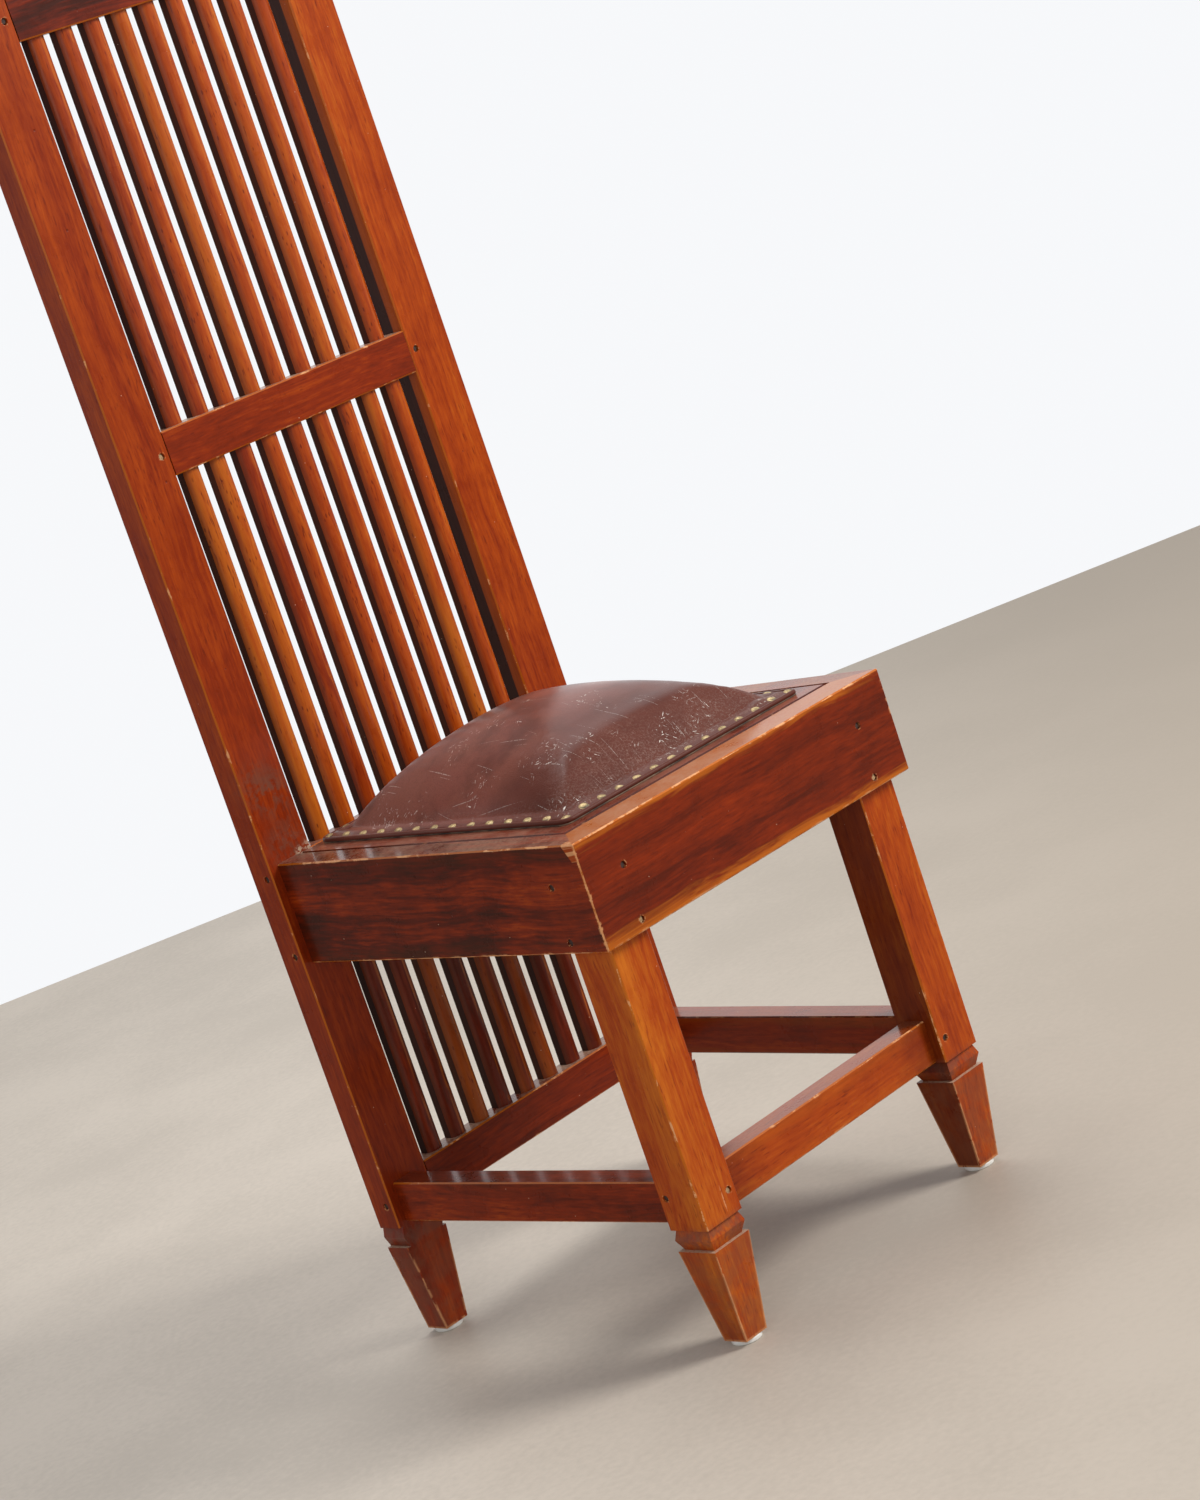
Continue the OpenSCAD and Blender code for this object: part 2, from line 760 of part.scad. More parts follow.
module seat_rebate() {
    translate([0, 0, seat_top_z - seat_board_t]) linear_extrude(2 * seat_board_t) seat_board_plan(joint_gap);
}

// A tenon of the left seat rail that enters a cross rail at y, towards way
module seat_tenon(y, way, cut) {
    extra = cut ? mortise_extra : 0;
    x = seat_rail_w / 2 - seat_out_x(y);
    z = seat_under_z + (seat_frame_t - seat_board_t) / 2;
    root_y = y - way * extra;
    tip_y = y + way * (seat_tenon_l + extra);
    grown_box([x - seat_tenon_w / 2, min(root_y, tip_y), z - seat_tenon_t / 2],
              [x + seat_tenon_w / 2, max(root_y, tip_y), z + seat_tenon_t / 2],
              cut ? joint_gap : 0);
}

module seat_tenons(cut) {
    seat_tenon(seat_front_y + seat_rail_w, -1, cut);
    seat_tenon(seat_back_y - seat_rail_w, 1, cut);
}

module seat_cross_rail(front, back) {
    color(WOOD) difference() {
        intersection() {
            seat_slab();
            box([-seat_front_w, front, 0], [seat_front_w, back, seat_top_z]);
        }
        seat_rebate();
        both_hands() seat_tenons(true);
    }
}

module seat_side_rail() {
    front = seat_front_y + seat_rail_w;
    back = seat_back_y - seat_rail_w;
    color(WOOD) difference() {
        union() {
            intersection() {
                seat_slab();
                linear_extrude(seat_top_z) polygon([
                    [-seat_front_w, front],
                    [seat_rail_w - seat_out_x(front), front],
                    [seat_rail_w - seat_out_x(back), back],
                    [-seat_front_w, back]
                ]);
            }
            seat_tenons(false);
        }
        seat_rebate();
    }
}

module seat_board() {
    color(JUTE) translate([0, 0, seat_top_z - seat_board_t]) linear_extrude(seat_board_t) seat_board_plan(0);
}

// The pad's outline runs round a square of side 2, as straight sides and round corners
SIDE_STEPS = 8;
CORNER_STEPS = 3;
RING = 4 * (SIDE_STEPS + CORNER_STEPS);
CROWN_RINGS = 9;
corner_unit = pad_corner_r / pad_half_l;

function side_point(i) =
    let (run = 1 - corner_unit, a = 90 * (i - SIDE_STEPS) / CORNER_STEPS)
    i < SIDE_STEPS
        ? [1, -run + 2 * run * i / SIDE_STEPS]
        : [run + corner_unit * cos(a), run + corner_unit * sin(a)];

function quarter_turns(p, count) = count == 0 ? p : quarter_turns([-p[1], p[0]], count - 1);

// Straight sides are drawn in most at their middle
function edge_point(k) =
    let (steps = SIDE_STEPS + CORNER_STEPS,
         p = quarter_turns(side_point(k % steps), floor(k / steps)),
         off_middle = min(abs(p[0]), abs(p[1])))
    p * (1 - draw_in / pad_half_l * (1 - off_middle * off_middle));

// The square outline turns into a disc towards the middle
function ring_point(k, s) =
    let (p = edge_point(k), disc = [p[0] * sqrt(1 - p[1] * p[1] / 2), p[1] * sqrt(1 - p[0] * p[0] / 2)])
    s * (s * p + (1 - s) * disc);

function pad_point(k, s, z) =
    let (p = ring_point(k, s), y = pad_mid_y + p[1] * pad_half_l)
    [p[0] * pad_out_x(y), y, z];

band_s = 1 - nail_band_w / pad_half_l;
stuffing_s = band_s - leather_t / pad_half_l;
function crown_s(j) = sin(90 * (1 - j / (CROWN_RINGS + 1)));
function crown_z(s) = crown_h * pow(1 - pow(s, crown_flat), crown_round);

// Rings of the pad's outside and inside, as [share of the outline, height]
function outer_rings() = concat(
    [
        [1, 0],
        [1 + leather_edge_bulge / pad_half_l, leather_edge_t / 2],
        [1 - leather_edge_bulge / pad_half_l, leather_edge_t]
    ],
    [for (j = [0:CROWN_RINGS]) [band_s * crown_s(j), leather_edge_t + crown_z(crown_s(j))]]
);
function inner_rings() = concat(
    [[stuffing_s, 0]],
    [for (j = [0:CROWN_RINGS]) [stuffing_s * crown_s(j), leather_edge_t - leather_t + crown_z(crown_s(j))]]
);
function ring_points(rings) = [for (r = rings, k = [0:RING - 1]) pad_point(k, r[0], seat_top_z + r[1])];

// Faces between the rings that start at a and b, between many rings, and from a ring to a tip
function band_faces(a, b) = [for (k = [0:RING - 1]) let (n = (k + 1) % RING)
    each [[a + k, b + k, a + n], [a + n, b + k, b + n]]];
function skin_faces(a, count) = [for (i = [0:count - 2]) each band_faces(a + i * RING, a + (i + 1) * RING)];
function fan_faces(a, tip) = [for (k = [0:RING - 1]) [a + k, tip, a + (k + 1) % RING]];
function flipped(faces) = [for (f = faces) [f[2], f[1], f[0]]];

module seat_stuffing() {
    rings = inner_rings();
    n = len(rings);
    top = [0, pad_mid_y, band_top_z - leather_t + crown_h];
    base = [0, pad_mid_y, seat_top_z];
    color(JUTE) polyhedron(
        points = concat(ring_points(rings), [top, base]),
        faces = concat(
            skin_faces(0, n),
            fan_faces((n - 1) * RING, n * RING),
            flipped(fan_faces(0, n * RING + 1))
        )
    );
}

module leather_cover() {
    outer = outer_rings();
    inner = inner_rings();
    first_inner = len(outer) * RING;
    tips = first_inner + len(inner) * RING;
    top = [0, pad_mid_y, band_top_z + crown_h];
    color(LEATHER) polyhedron(
        points = concat(ring_points(outer), ring_points(inner), [top, top - [0, 0, leather_t]]),
        faces = concat(
            skin_faces(0, len(outer)),
            fan_faces(first_inner - RING, tips),
            flipped(skin_faces(first_inner, len(inner))),
            flipped(fan_faces(tips - RING, tips + 1)),
            flipped(band_faces(0, first_inner))
        )
    );
}

module nail() {
    r = nail_head_d / 2;
    ball_r = (r * r + nail_head_h * nail_head_h) / (2 * nail_head_h);
    rotate_extrude() intersection() {
        translate([0, nail_head_h - ball_r]) circle(r = ball_r);
        square([r, nail_head_h]);
    }
    translate([0, 0, -nail_shank_l]) cylinder(h = nail_shank_l + nail_head_h / 2, d = nail_shank_d);
}

// The nails run along the middle of the band, from corner to corner
function nail_corner(side, y) = [side * (pad_out_x(y) - nail_in), y];
function nail_row(from, to, count) = [for (i = [0:count - 2]) from + (to - from) * i / (count - 1)];
function nail_points() =
    let (front = pad_front_y + nail_in, back = pad_back_y - nail_in,
         front_left = nail_corner(-1, front), front_right = nail_corner(1, front),
         back_left = nail_corner(-1, back), back_right = nail_corner(1, back))
    concat(
        nail_row(front_left, front_right, front_nails),
        nail_row(front_right, back_right, side_nails),
        nail_row(back_right, back_left, back_nails),
        nail_row(back_left, front_left, side_nails)
    );

module brass_nails() {
    color(BRASS)
        for (p = nail_points())
            translate([p[0], p[1], band_top_z]) nail();
}

module pegs() {
    color(WOOD_DARK) both_hands() left_pegs(false);
}

module block_screws() {
    color(STEEL) both_hands() left_block_screws(false);
}

back_glide_x = post_out_x - post_w / 2;
front_glide_x = leg_out_x - leg_w / 2;
front_glide_y = leg_front_y + leg_w / 2;

on_chair() {
    back_post();  // left_post
    right_hand() back_post();  // right_post
    front_leg();  // front_left_leg
    right_hand() front_leg();  // front_right_leg
    back_rail(crest_rail_z, crest_h, true, false);  // crest_rail
    back_rail(middle_rail_z, rail_h, true, true);  // middle_rail
    back_rail(apron_z, apron_h, true, true);  // back_seat_rail
    back_rail(bottom_rail_z, rail_h, false, true);  // bottom_rail
    side_apron();  // left_apron
    right_hand() side_apron();  // right_apron
    front_apron();
    side_stretcher();  // left_stretcher
    right_hand() side_stretcher();  // right_stretcher
    front_stretcher();
    back_block();  // back_left_block
    right_hand() back_block();  // back_right_block
    front_block();  // front_left_block
    right_hand() front_block();  // front_right_block
    block_screws();
    pegs();
    glide(-back_glide_x, post_d / 2);  // back_left_glide
    glide(back_glide_x, post_d / 2);  // back_right_glide
    glide(-front_glide_x, front_glide_y);  // front_left_glide
    glide(front_glide_x, front_glide_y);  // front_right_glide
    seat_cross_rail(seat_front_y, seat_front_y + seat_rail_w);  // seat_frame_front
    seat_cross_rail(seat_back_y - seat_rail_w, seat_back_y);  // seat_frame_back
    seat_side_rail();  // seat_frame_left
    right_hand() seat_side_rail();  // seat_frame_right
    seat_board();
    seat_stuffing();
    leather_cover();
    brass_nails();
    for (i = [1:spindles]) {
        spindle(i, bottom_rail_z + rail_h, apron_z);
        spindle(i, seat_h, middle_rail_z);
        spindle(i, middle_rail_z + rail_h, crest_rail_z);
    }
}
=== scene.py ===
"""A high-backed side chair with a drop-in leather seat, dressed and lit for a studio picture."""

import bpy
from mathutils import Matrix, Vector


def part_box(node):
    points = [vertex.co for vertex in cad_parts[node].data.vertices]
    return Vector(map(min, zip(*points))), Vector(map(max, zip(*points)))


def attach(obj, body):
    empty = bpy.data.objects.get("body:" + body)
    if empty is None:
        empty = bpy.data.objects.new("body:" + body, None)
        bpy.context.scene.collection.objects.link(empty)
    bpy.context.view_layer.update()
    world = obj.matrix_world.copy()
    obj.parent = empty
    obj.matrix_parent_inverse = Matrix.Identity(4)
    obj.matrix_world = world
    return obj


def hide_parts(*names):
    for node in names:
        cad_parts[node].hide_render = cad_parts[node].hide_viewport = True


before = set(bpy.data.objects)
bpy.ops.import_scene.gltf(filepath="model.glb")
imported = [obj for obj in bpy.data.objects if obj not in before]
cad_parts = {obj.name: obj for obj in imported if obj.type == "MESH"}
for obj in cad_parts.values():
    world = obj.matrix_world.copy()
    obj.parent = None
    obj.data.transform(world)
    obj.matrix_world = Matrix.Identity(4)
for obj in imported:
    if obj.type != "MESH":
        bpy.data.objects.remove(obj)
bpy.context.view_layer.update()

import logging
import math
import random
from dataclasses import dataclass
from enum import Enum
from typing import Any

import bmesh
import bpy
from mathutils import Matrix, Vector
from mathutils.bvhtree import BVHTree
from mathutils.kdtree import KDTree

LOG = logging.getLogger("side_chair")
Colour = tuple[float, float, float]
Spot = tuple[float, float, float]
Band = tuple[float, float]
Box = tuple[Vector, Vector]
WELD = 1e-6


class Value:
    """A number that varies over a surface: a socket whose arithmetic adds Math nodes."""

    def __init__(self, paint: "Paint", socket: bpy.types.NodeSocket) -> None:
        """Keeps the socket and the paint that it belongs to."""
        self.paint = paint
        self.socket = socket

    def _math(self, operation: str, *terms: "Value | float") -> "Value":
        """Adds one Math node.

        Args:
            operation: The node's operation.
            terms: What goes into its sockets, in order.

        Returns:
            The node's result.
        """
        node = self.paint.node("ShaderNodeMath", {"operation": operation}, dict(enumerate(terms)))
        return Value(self.paint, node.outputs[0])

    def __add__(self, other: "Value | float") -> "Value":
        """Adds a value or number."""
        return self._math("ADD", self, other)

    __radd__ = __add__

    def __sub__(self, other: "Value | float") -> "Value":
        """Takes a value or number away."""
        return self._math("SUBTRACT", self, other)

    def __rsub__(self, other: "Value | float") -> "Value":
        """Takes this value away from a number."""
        return self._math("SUBTRACT", other, self)

    def __mul__(self, other: "Value | float") -> "Value":
        """Multiplies by a value or number."""
        return self._math("MULTIPLY", self, other)

    __rmul__ = __mul__

    def least(self, other: "Value | float") -> "Value":
        """Takes the smaller of the two."""
        return self._math("MINIMUM", self, other)

    def most(self, other: "Value | float") -> "Value":
        """Takes the larger of the two."""
        return self._math("MAXIMUM", self, other)

    def floored(self) -> "Value":
        """Rounds down."""
        return self._math("FLOOR", self)

    def swing(self, weight: float) -> "Value":
        """Turns noise about 0.5 into a swing about 0."""
        return (self - 0.5) * weight

    def rising(self, low: float, high: float) -> "Value":
        """Goes smoothly from 0 below `low` to 1 above `high`.

        Args:
            low: Where the rise begins.
            high: Where it ends.

        Returns:
            The eased value, between 0 and 1.
        """
        sockets = {"Value": self, "From Min": low, "From Max": high}
        node = self.paint.node("ShaderNodeMapRange", {"interpolation_type": "SMOOTHSTEP"}, sockets)
        return Value(self.paint, node.outputs[0])

    def falling(self, low: float, high: float) -> "Value":
        """Goes smoothly from 1 below `low` to 0 above `high`."""
        return 1.0 - self.rising(low, high)


class Paint:
    """The nodes of one procedural material, or of the world, and the colour laid so far."""

    def __init__(self, owner: bpy.types.Material | bpy.types.World) -> None:
        """Starts without nodes.

        Args:
            owner: The material or world.
        """
        self.owner = owner
        owner.use_nodes = True
        self.tree = owner.node_tree
        self.tree.nodes.clear()
        self.colour: Any = None

    def node(self, kind: str, settings: dict[str, Any], sockets: dict[Any, Any]) -> bpy.types.Node:
        """Adds a node.

        Args:
            kind: The node's type.
            settings: Its properties, set first. "stops" are a ramp's (position, colour) pairs.
            sockets: Values or links by the socket's name or number.

        Returns:
            The node.
        """
        node = self.tree.nodes.new(kind)
        for key, value in settings.items():
            if key == "stops":
                for index, (place, colour) in enumerate(value):
                    stops = node.color_ramp.elements
                    stop = stops[index] if index < 2 else stops.new(place)
                    stop.position = place
                    stop.color = (*colour, 1.0)
            else:
                setattr(node, key, value)
        for key, value in sockets.items():
            socket = node.inputs[key]
            source = value.socket if isinstance(value, Value) else value
            if isinstance(source, bpy.types.NodeSocket):
                self.tree.links.new(source, socket)
            elif socket.type == "RGBA":
                socket.default_value = (*source, 1.0)
            else:
                socket.default_value = source
        return node

    def place(self) -> bpy.types.NodeSocket:
        """Gives the point on the object, in metres."""
        return self.node("ShaderNodeTexCoord", {}, {}).outputs["Object"]

    def facing(self) -> bpy.types.NodeSocket:
        """Gives the way that the surface faces."""
        return self.node("ShaderNodeTexCoord", {}, {}).outputs["Normal"]

    def away(self, point: bpy.types.NodeSocket, spot: Any) -> Value:
        """Measures the distance from a fixed spot."""
        return Value(self, self.vector("DISTANCE", point, tuple(spot)).outputs["Value"])

    def seen(self) -> Value:
        """Finds what the camera sees, also in a mirror or through clear glass.

        Returns:
            1 for such a view, and 0 for light that only falls on the chair.
        """
        path = self.node("ShaderNodeLightPath", {}, {}).outputs
        camera, glossy = Value(self, path["Is Camera Ray"]), Value(self, path["Is Glossy Ray"])
        return camera.most(glossy).most(Value(self, path["Is Transmission Ray"]))

    def mapped(self, point: bpy.types.NodeSocket, scale: Spot = (1.0, 1.0, 1.0),
               shift: Spot = (0.0, 0.0, 0.0), turn: float = 0.0) -> bpy.types.NodeSocket:
        """Scales, turns and then shifts a point.

        Args:
            point: The point.
            scale: Factor along each axis.
            shift: Distance along each axis, added last.
            turn: Angle about the upright axis.

        Returns:
            The new point.
        """
        sockets = {"Vector": point, "Scale": scale, "Location": shift, "Rotation": (0.0, 0.0, turn)}
        return self.node("ShaderNodeMapping", {}, sockets).outputs[0]

    def vector(self, operation: str, *terms: Any) -> bpy.types.Node:
        """Adds a Vector Math node."""
        return self.node("ShaderNodeVectorMath", {"operation": operation}, dict(enumerate(terms)))

    def parts(self, point: bpy.types.NodeSocket) -> list[Value]:
        """Splits a point into its three numbers."""
        return [Value(self, out) for out in self.node("ShaderNodeSeparateXYZ", {}, {0: point}).outputs]

    def cloud(self, point: bpy.types.NodeSocket, scale: float, detail: float = 3.0,
              roughness: float = 0.55, distortion: float = 0.0) -> Value:
        """Adds soft noise.

        Args:
            point: Where it is read.
            scale: Features per metre.
            detail: Number of finer layers.
            roughness: Weight of the finer layers.
            distortion: How far it twists.

        Returns:
            The noise, about 0.5.
        """
        sockets = {"Vector": point, "Scale": scale, "Detail": detail, "Roughness": roughness,
                   "Distortion": distortion}
        return Value(self, self.node("ShaderNodeTexNoise", {}, sockets).outputs[0])

    def bent(self, point: bpy.types.NodeSocket, scale: float, detail: float, reach: float,
             onto: bpy.types.NodeSocket) -> bpy.types.NodeSocket:
        """Bends a pattern by soft noise.

        Args:
            point: Where the noise is read.
            scale: Its features per metre.
            detail: Number of finer layers.
            reach: How far it bends, in metres.
            onto: The pattern's own point.

        Returns:
            The bent point.
        """
        noise = self.node("ShaderNodeTexNoise", {}, {"Vector": point, "Scale": scale, "Detail": detail})
        return self.vector("MULTIPLY_ADD", noise.outputs["Color"], (reach, reach, reach), onto).outputs[0]

    def cells(self, point: bpy.types.NodeSocket, scale: float, feature: str = "F1") -> Value:
        """Adds a cell pattern and gives its distance."""
        node = self.node("ShaderNodeTexVoronoi", {"feature": feature}, {"Vector": point, "Scale": scale})
        return Value(self, node.outputs["Distance"])

    def mix(self, share: "Value | float", first: Any, second: Any) -> bpy.types.NodeSocket:
        """Mixes two colours.

        Args:
            share: How much of the second.
            first: Colour where the share is 0.
            second: Colour where the share is 1.

        Returns:
            The mixed colour.
        """
        node = self.node("ShaderNodeMix", {"data_type": "RGBA"}, {0: share, 6: first, 7: second})
        return node.outputs[2]

    def ramp(self, value: Value, stops: list[tuple[float, Colour]]) -> bpy.types.NodeSocket:
        """Colours a value by a ramp."""
        return self.node("ShaderNodeValToRGB", {"stops": stops}, {0: value}).outputs[0]

    def lay(self, share: "Value | float", colour: Any) -> None:
        """Lays a colour over those laid before."""
        self.colour = self.mix(share, self.colour, colour)

    def finish(self, height: Value, depth: float, sockets: dict[str, Any]) -> bpy.types.Material:
        """Adds the surface shader and ends the material.

        Args:
            height: Relief.
            depth: Height of the relief at 1, in metres.
            sockets: The shader's values and links, apart from its colour.

        Returns:
            The material.
        """
        bump = self.node("ShaderNodeBump", {}, {"Height": height, "Distance": depth, "Strength": 1.0})
        sockets = {"Base Color": self.colour, **sockets, "Normal": bump.outputs[0]}
        surface = self.node("ShaderNodeBsdfPrincipled", {}, sockets)
        self.node("ShaderNodeOutputMaterial", {}, {"Surface": surface.outputs[0]})
        return self.owner


class Grain(Enum):
    """The axis that a piece's grain runs along."""

    ACROSS = 0
    ALONG = 1
    UP = 2

    def scale(self, along: float) -> Spot:
        """Gives a scale that differs from 1 only along the grain."""
        return tuple(along if axis == self.value else 1.0 for axis in range(3))


@dataclass(frozen=True)
class Board:
    """How one wooden piece is cut, and what has happened to it.

    Attributes:
        node: The piece's name.
        grain: The axis of its grain.
        tone: How light its wood is, about 0.
        contrast: Strength of its figure.
        wear: How far its edges are rubbed, from 0 to 1.
        rim: How bright its top and bottom edges are.
        turn: Angle of its box about the upright axis.
        climb: How much lighter it gets per metre of height.
        shaded_side: 1 or -1 for the side, along X, that gets painted shade, or 0 for neither.
        shade: How dark the painted shade on that side is.
        shade_from: The place along Y behind which that side gets painted shade; in front of it lies a painted
            lit strip.
        corner: How pale the lines at its ends are.
        settled: How much dust lies on it.
        painted_front_light: How much lighter it is painted at the front, as painted light.
        end_shade: How much painted shade darkens it towards the ends.
        toe: How far its foot tapers in, along X and Y.
        smudges: Middles of dull smudges.
        dusty: Middles of heaps of dust, with their radii.
        scratches: Middles of upright scratches, with their lengths.
        spline: Whether a pale wedge is let into its front end.
        shaded_arrises: Whether all its edges, where they meet other pieces, get painted shade.
    """

    node: str
    grain: Grain
    tone: float = 0.0
    contrast: float = 0.4
    wear: float = 0.4
    rim: float = 0.0
    turn: float = 0.0
    climb: float = 0.0
    shaded_side: float = 0.0
    shade: float = 0.55
    shade_from: float = -1.0
    corner: float = 0.0
    settled: float = 0.36
    painted_front_light: float = 0.0
    end_shade: float = 0.0
    toe: tuple[float, float] = (0.0, 0.0)
    smudges: tuple[Spot, ...] = ()
    dusty: tuple[tuple[Spot, float], ...] = ()
    scratches: tuple[tuple[Spot, float], ...] = ()
    spline: bool = False
    shaded_arrises: bool = False


@dataclass
class Skin:
    """One wooden piece's surface: where it lies, the way it faces and the pattern in its wood."""

    paint: Paint
    board: Board
    box: Box
    chatter_scale: float = 55.0

    def __post_init__(self) -> None:
        """Reads the point and the way that the surface faces."""
        paint = self.paint
        self.place = paint.place()
        self.point = paint.mapped(self.place, turn=self.board.turn) if self.board.turn else self.place
        self.depth, self.height = paint.parts(self.place)[1:]
        self.normal = paint.facing()
        self.side_x, _, self.up = paint.parts(self.normal)
        self.square = paint.parts(paint.vector("ABSOLUTE", self.normal).outputs[0])
        self.chatter = paint.cloud(self.place, self.chatter_scale, 4.0, 0.7)

    def figured(self, broad: Value, fine: Value, flecks: Value, mottle: Value) -> None:
        """Keeps the wood's pattern: broad and fine streaks, short flecks and cloudy mottling."""
        self.broad, self.fine, self.flecks, self.mottle = broad, fine, flecks, mottle


@dataclass(frozen=True)
class Varnish:
    """Red-brown varnish over hardwood, rubbed pale along the edges.

    Lengths are in metres and scales in features per metre. A Band is where a mask begins and ends.
    """

    # black is laid only as painted shade. bright, gold and dull are wood colours that are also laid as
    # painted highlight, painted lit strip, and painted sheen and shade.
    shade_black: Colour = (0.018, 0.0060, 0.0040)
    dark: Colour = (0.048, 0.0090, 0.0040)
    deep: Colour = (0.110, 0.0120, 0.0035)
    body: Colour = (0.235, 0.0240, 0.0035)
    warm: Colour = (0.385, 0.0560, 0.0045)
    bright: Colour = (0.560, 0.1450, 0.0110)
    gold: Colour = (0.440, 0.1150, 0.0110)
    bare: Colour = (0.740, 0.3500, 0.1500)
    dust: Colour = (0.520, 0.3700, 0.2600)
    dull: Colour = (0.170, 0.0600, 0.0300)
    smudge: Colour = (0.150, 0.0580, 0.0360)
    speck: Colour = (0.75, 0.52, 0.36)
    stops: tuple[float, ...] = (0.08, 0.25, 0.43, 0.60, 0.84)
    pattern_span: float = 7.0
    seed_steps: Spot = (0.371, 0.613, 0.257)
    stretch: float = 18.0
    fleck_stretch: float = 8.0
    trail_squeeze: float = 0.35
    grain_scale: float = 42.0
    fine_scale: float = 294.0
    fleck_scale: float = 546.0
    mottle_scale: float = 26.0
    drift_scale: float = 9.0
    drift: float = 0.016
    trail_scale: float = 230.0
    crumb_scale: float = 380.0
    ring_scale: float = 420.0
    dent_scale: float = 34.0
    speck_scale: float = 95.0
    front_light_reach: float = 0.16
    rim_band: Band = (0.0015, 0.0115)
    end_shade_band: Band = (0.020, 0.075)
    collar_foot: Band = (0.084, 0.090)
    collar_top: Band = (0.100, 0.112)
    shade_edge: float = 0.0006
    facing_in: Band = (-0.03, -0.01)
    nick_band: Band = (0.0004, 0.0026)
    corner_band: Band = (0.0003, 0.0008)
    ring_band: Band = (0.00336, 0.0045)
    smudge_r: float = 0.034
    scratch_w: float = 0.0014
    scratch_band: Band = (0.0004, 0.0010)
    ledge_z: float = 0.092
    ledge_h: float = 0.004
    foot_z: float = 0.080
    foot_top_z: float = 0.087
    spline_w: float = 0.0135
    spline_h: float = 0.0145
    spline_edge: float = 0.0003
    relief: float = 0.0003

    def _figured(self, skin: Skin, point: bpy.types.NodeSocket, shade: "Value | float", seed: int) -> None:
        """Draws the wood's figure and colours it.

        Args:
            skin: The piece's surface.
            point: Where the pattern is read.
            shade: How light the wood is, about 0.
            seed: Picks the part of the pattern.
        """
        paint, grain, bend = skin.paint, skin.board.grain, skin.board.contrast
        shift = tuple(seed * step % self.pattern_span for step in self.seed_steps)
        along = paint.mapped(point, grain.scale(1.0 / self.stretch), shift)
        lines = paint.bent(point, self.drift_scale, 1.0, self.drift, along)
        broad = paint.cloud(lines, self.grain_scale, 3.0, 0.5, 0.3)
        fine = paint.cloud(lines, self.fine_scale, 3.0, 0.6)
        short = paint.mapped(point, grain.scale(1.0 / self.fleck_stretch), shift)
        flecks = paint.cloud(short, self.fleck_scale, 2.0, 0.6)
        mottle = paint.cloud(paint.mapped(point, shift=shift), self.mottle_scale, 4.0, 0.6)
        skin.figured(broad, fine, flecks, mottle)
        swing = broad.swing(bend) + fine.swing(0.85 * bend) + mottle.swing(0.5 * bend) + flecks.swing(0.20)
        tones = (self.dark, self.deep, self.body, self.warm, self.bright)
        paint.colour = paint.ramp(swing + 0.5 + shade, list(zip(self.stops, tones)))

    def _pored(self, skin: Skin, point: bpy.types.NodeSocket, pores: float, trails: float,
               streaks: Band) -> None:
        """Darkens the pores, and thin trails of them in the light streaks.

        Args:
            skin: The piece's surface.
            point: Where the pattern is read.
            pores: How dark the pores are.
            trails: How dark the trails are.
            streaks: How light a streak has to be.
        """
        paint = skin.paint
        paint.lay(skin.flecks.falling(0.29, 0.40) * skin.mottle.rising(0.40, 0.56) * pores, self.deep)
        squeezed = paint.mapped(point, skin.board.grain.scale(self.trail_squeeze))
        trail = paint.cells(squeezed, self.trail_scale).falling(0.10, 0.22) * skin.broad.rising(*streaks)
        paint.lay(trail * trails, self.deep)

    def _edge_distances(self, skin: Skin) -> tuple[Value, Value, Value]:
        """Measures how far a point is from the edges of its box, or of its tapered foot.

        Args:
            skin: The piece's surface.

        Returns:
            The distances from the nearest edge, from the ends and from the top or bottom, in metres.
        """
        paint, (low, high), toe = skin.paint, skin.box, skin.board.toe
        centred = paint.vector("SUBTRACT", skin.point, tuple((low + high) / 2)).outputs[0]
        beside = paint.vector("ABSOLUTE", centred).outputs[0]
        x, y, z = inwards = paint.parts(paint.vector("SUBTRACT", tuple((high - low) / 2), beside).outputs[0])
        if any(toe):
            drop = (self.foot_top_z - skin.height).most(0.0) * (1.0 / (self.foot_top_z - low.z))
            x, y = x - drop * toe[0], y - drop * toe[1]
        return x.least(y).most(x.most(y).least(z)), inwards[skin.board.grain.value], z

    def _spline(self, skin: Skin) -> Value:
        """Gives 1 on the pale wedge let into the top of an apron's front end.

        Args:
            skin: The piece's surface.

        Returns:
            The wedge's mask.
        """
        low, high = skin.box
        along = skin.paint.parts(skin.point)[1] - low.y
        down = high.z - skin.height
        wide = (along + down * 0.5).falling(self.spline_w - self.spline_edge, self.spline_w)
        return wide * down.falling(self.spline_h - self.spline_edge, self.spline_h)

    def _lit(self, skin: Skin, end: Value, top: Value) -> None:
        """Lays the bright rims, painted shade at the ends and on the collars, and painted shade on the dark
        side with a painted lit strip in front of it.

        Args:
            skin: The piece's surface.
            end: Distance from the ends.
            top: Distance from the top or bottom.
        """
        paint, board, chatter = skin.paint, skin.board, skin.chatter
        if board.rim:
            uneven = skin.broad.swing(0.034) + skin.fine.swing(0.020)
            paint.lay((top + uneven).falling(*self.rim_band) * board.rim, self.bright)
        # Painted shade towards the ends.
        if board.end_shade:
            paint.lay((end + chatter.swing(0.05)).falling(*self.end_shade_band) * board.end_shade, self.deep)
        # Painted shade on the collars above the feet.
        if any(board.toe):
            collar = skin.height.rising(*self.collar_foot) * skin.height.falling(*self.collar_top)
            paint.lay(collar * chatter.rising(0.36, 0.56) * 0.62, self.smudge)
        # Painted shade on the side behind shade_from, and a painted lit strip in gold in front of it.
        if board.shaded_side:
            behind = skin.depth.rising(board.shade_from - self.shade_edge, board.shade_from + self.shade_edge)
            side = (skin.side_x * board.shaded_side).rising(0.85, 0.97)
            paint.lay(side * behind * board.shade, self.shade_black)
            paint.lay(side * (1.0 - behind) * 0.35, self.gold)

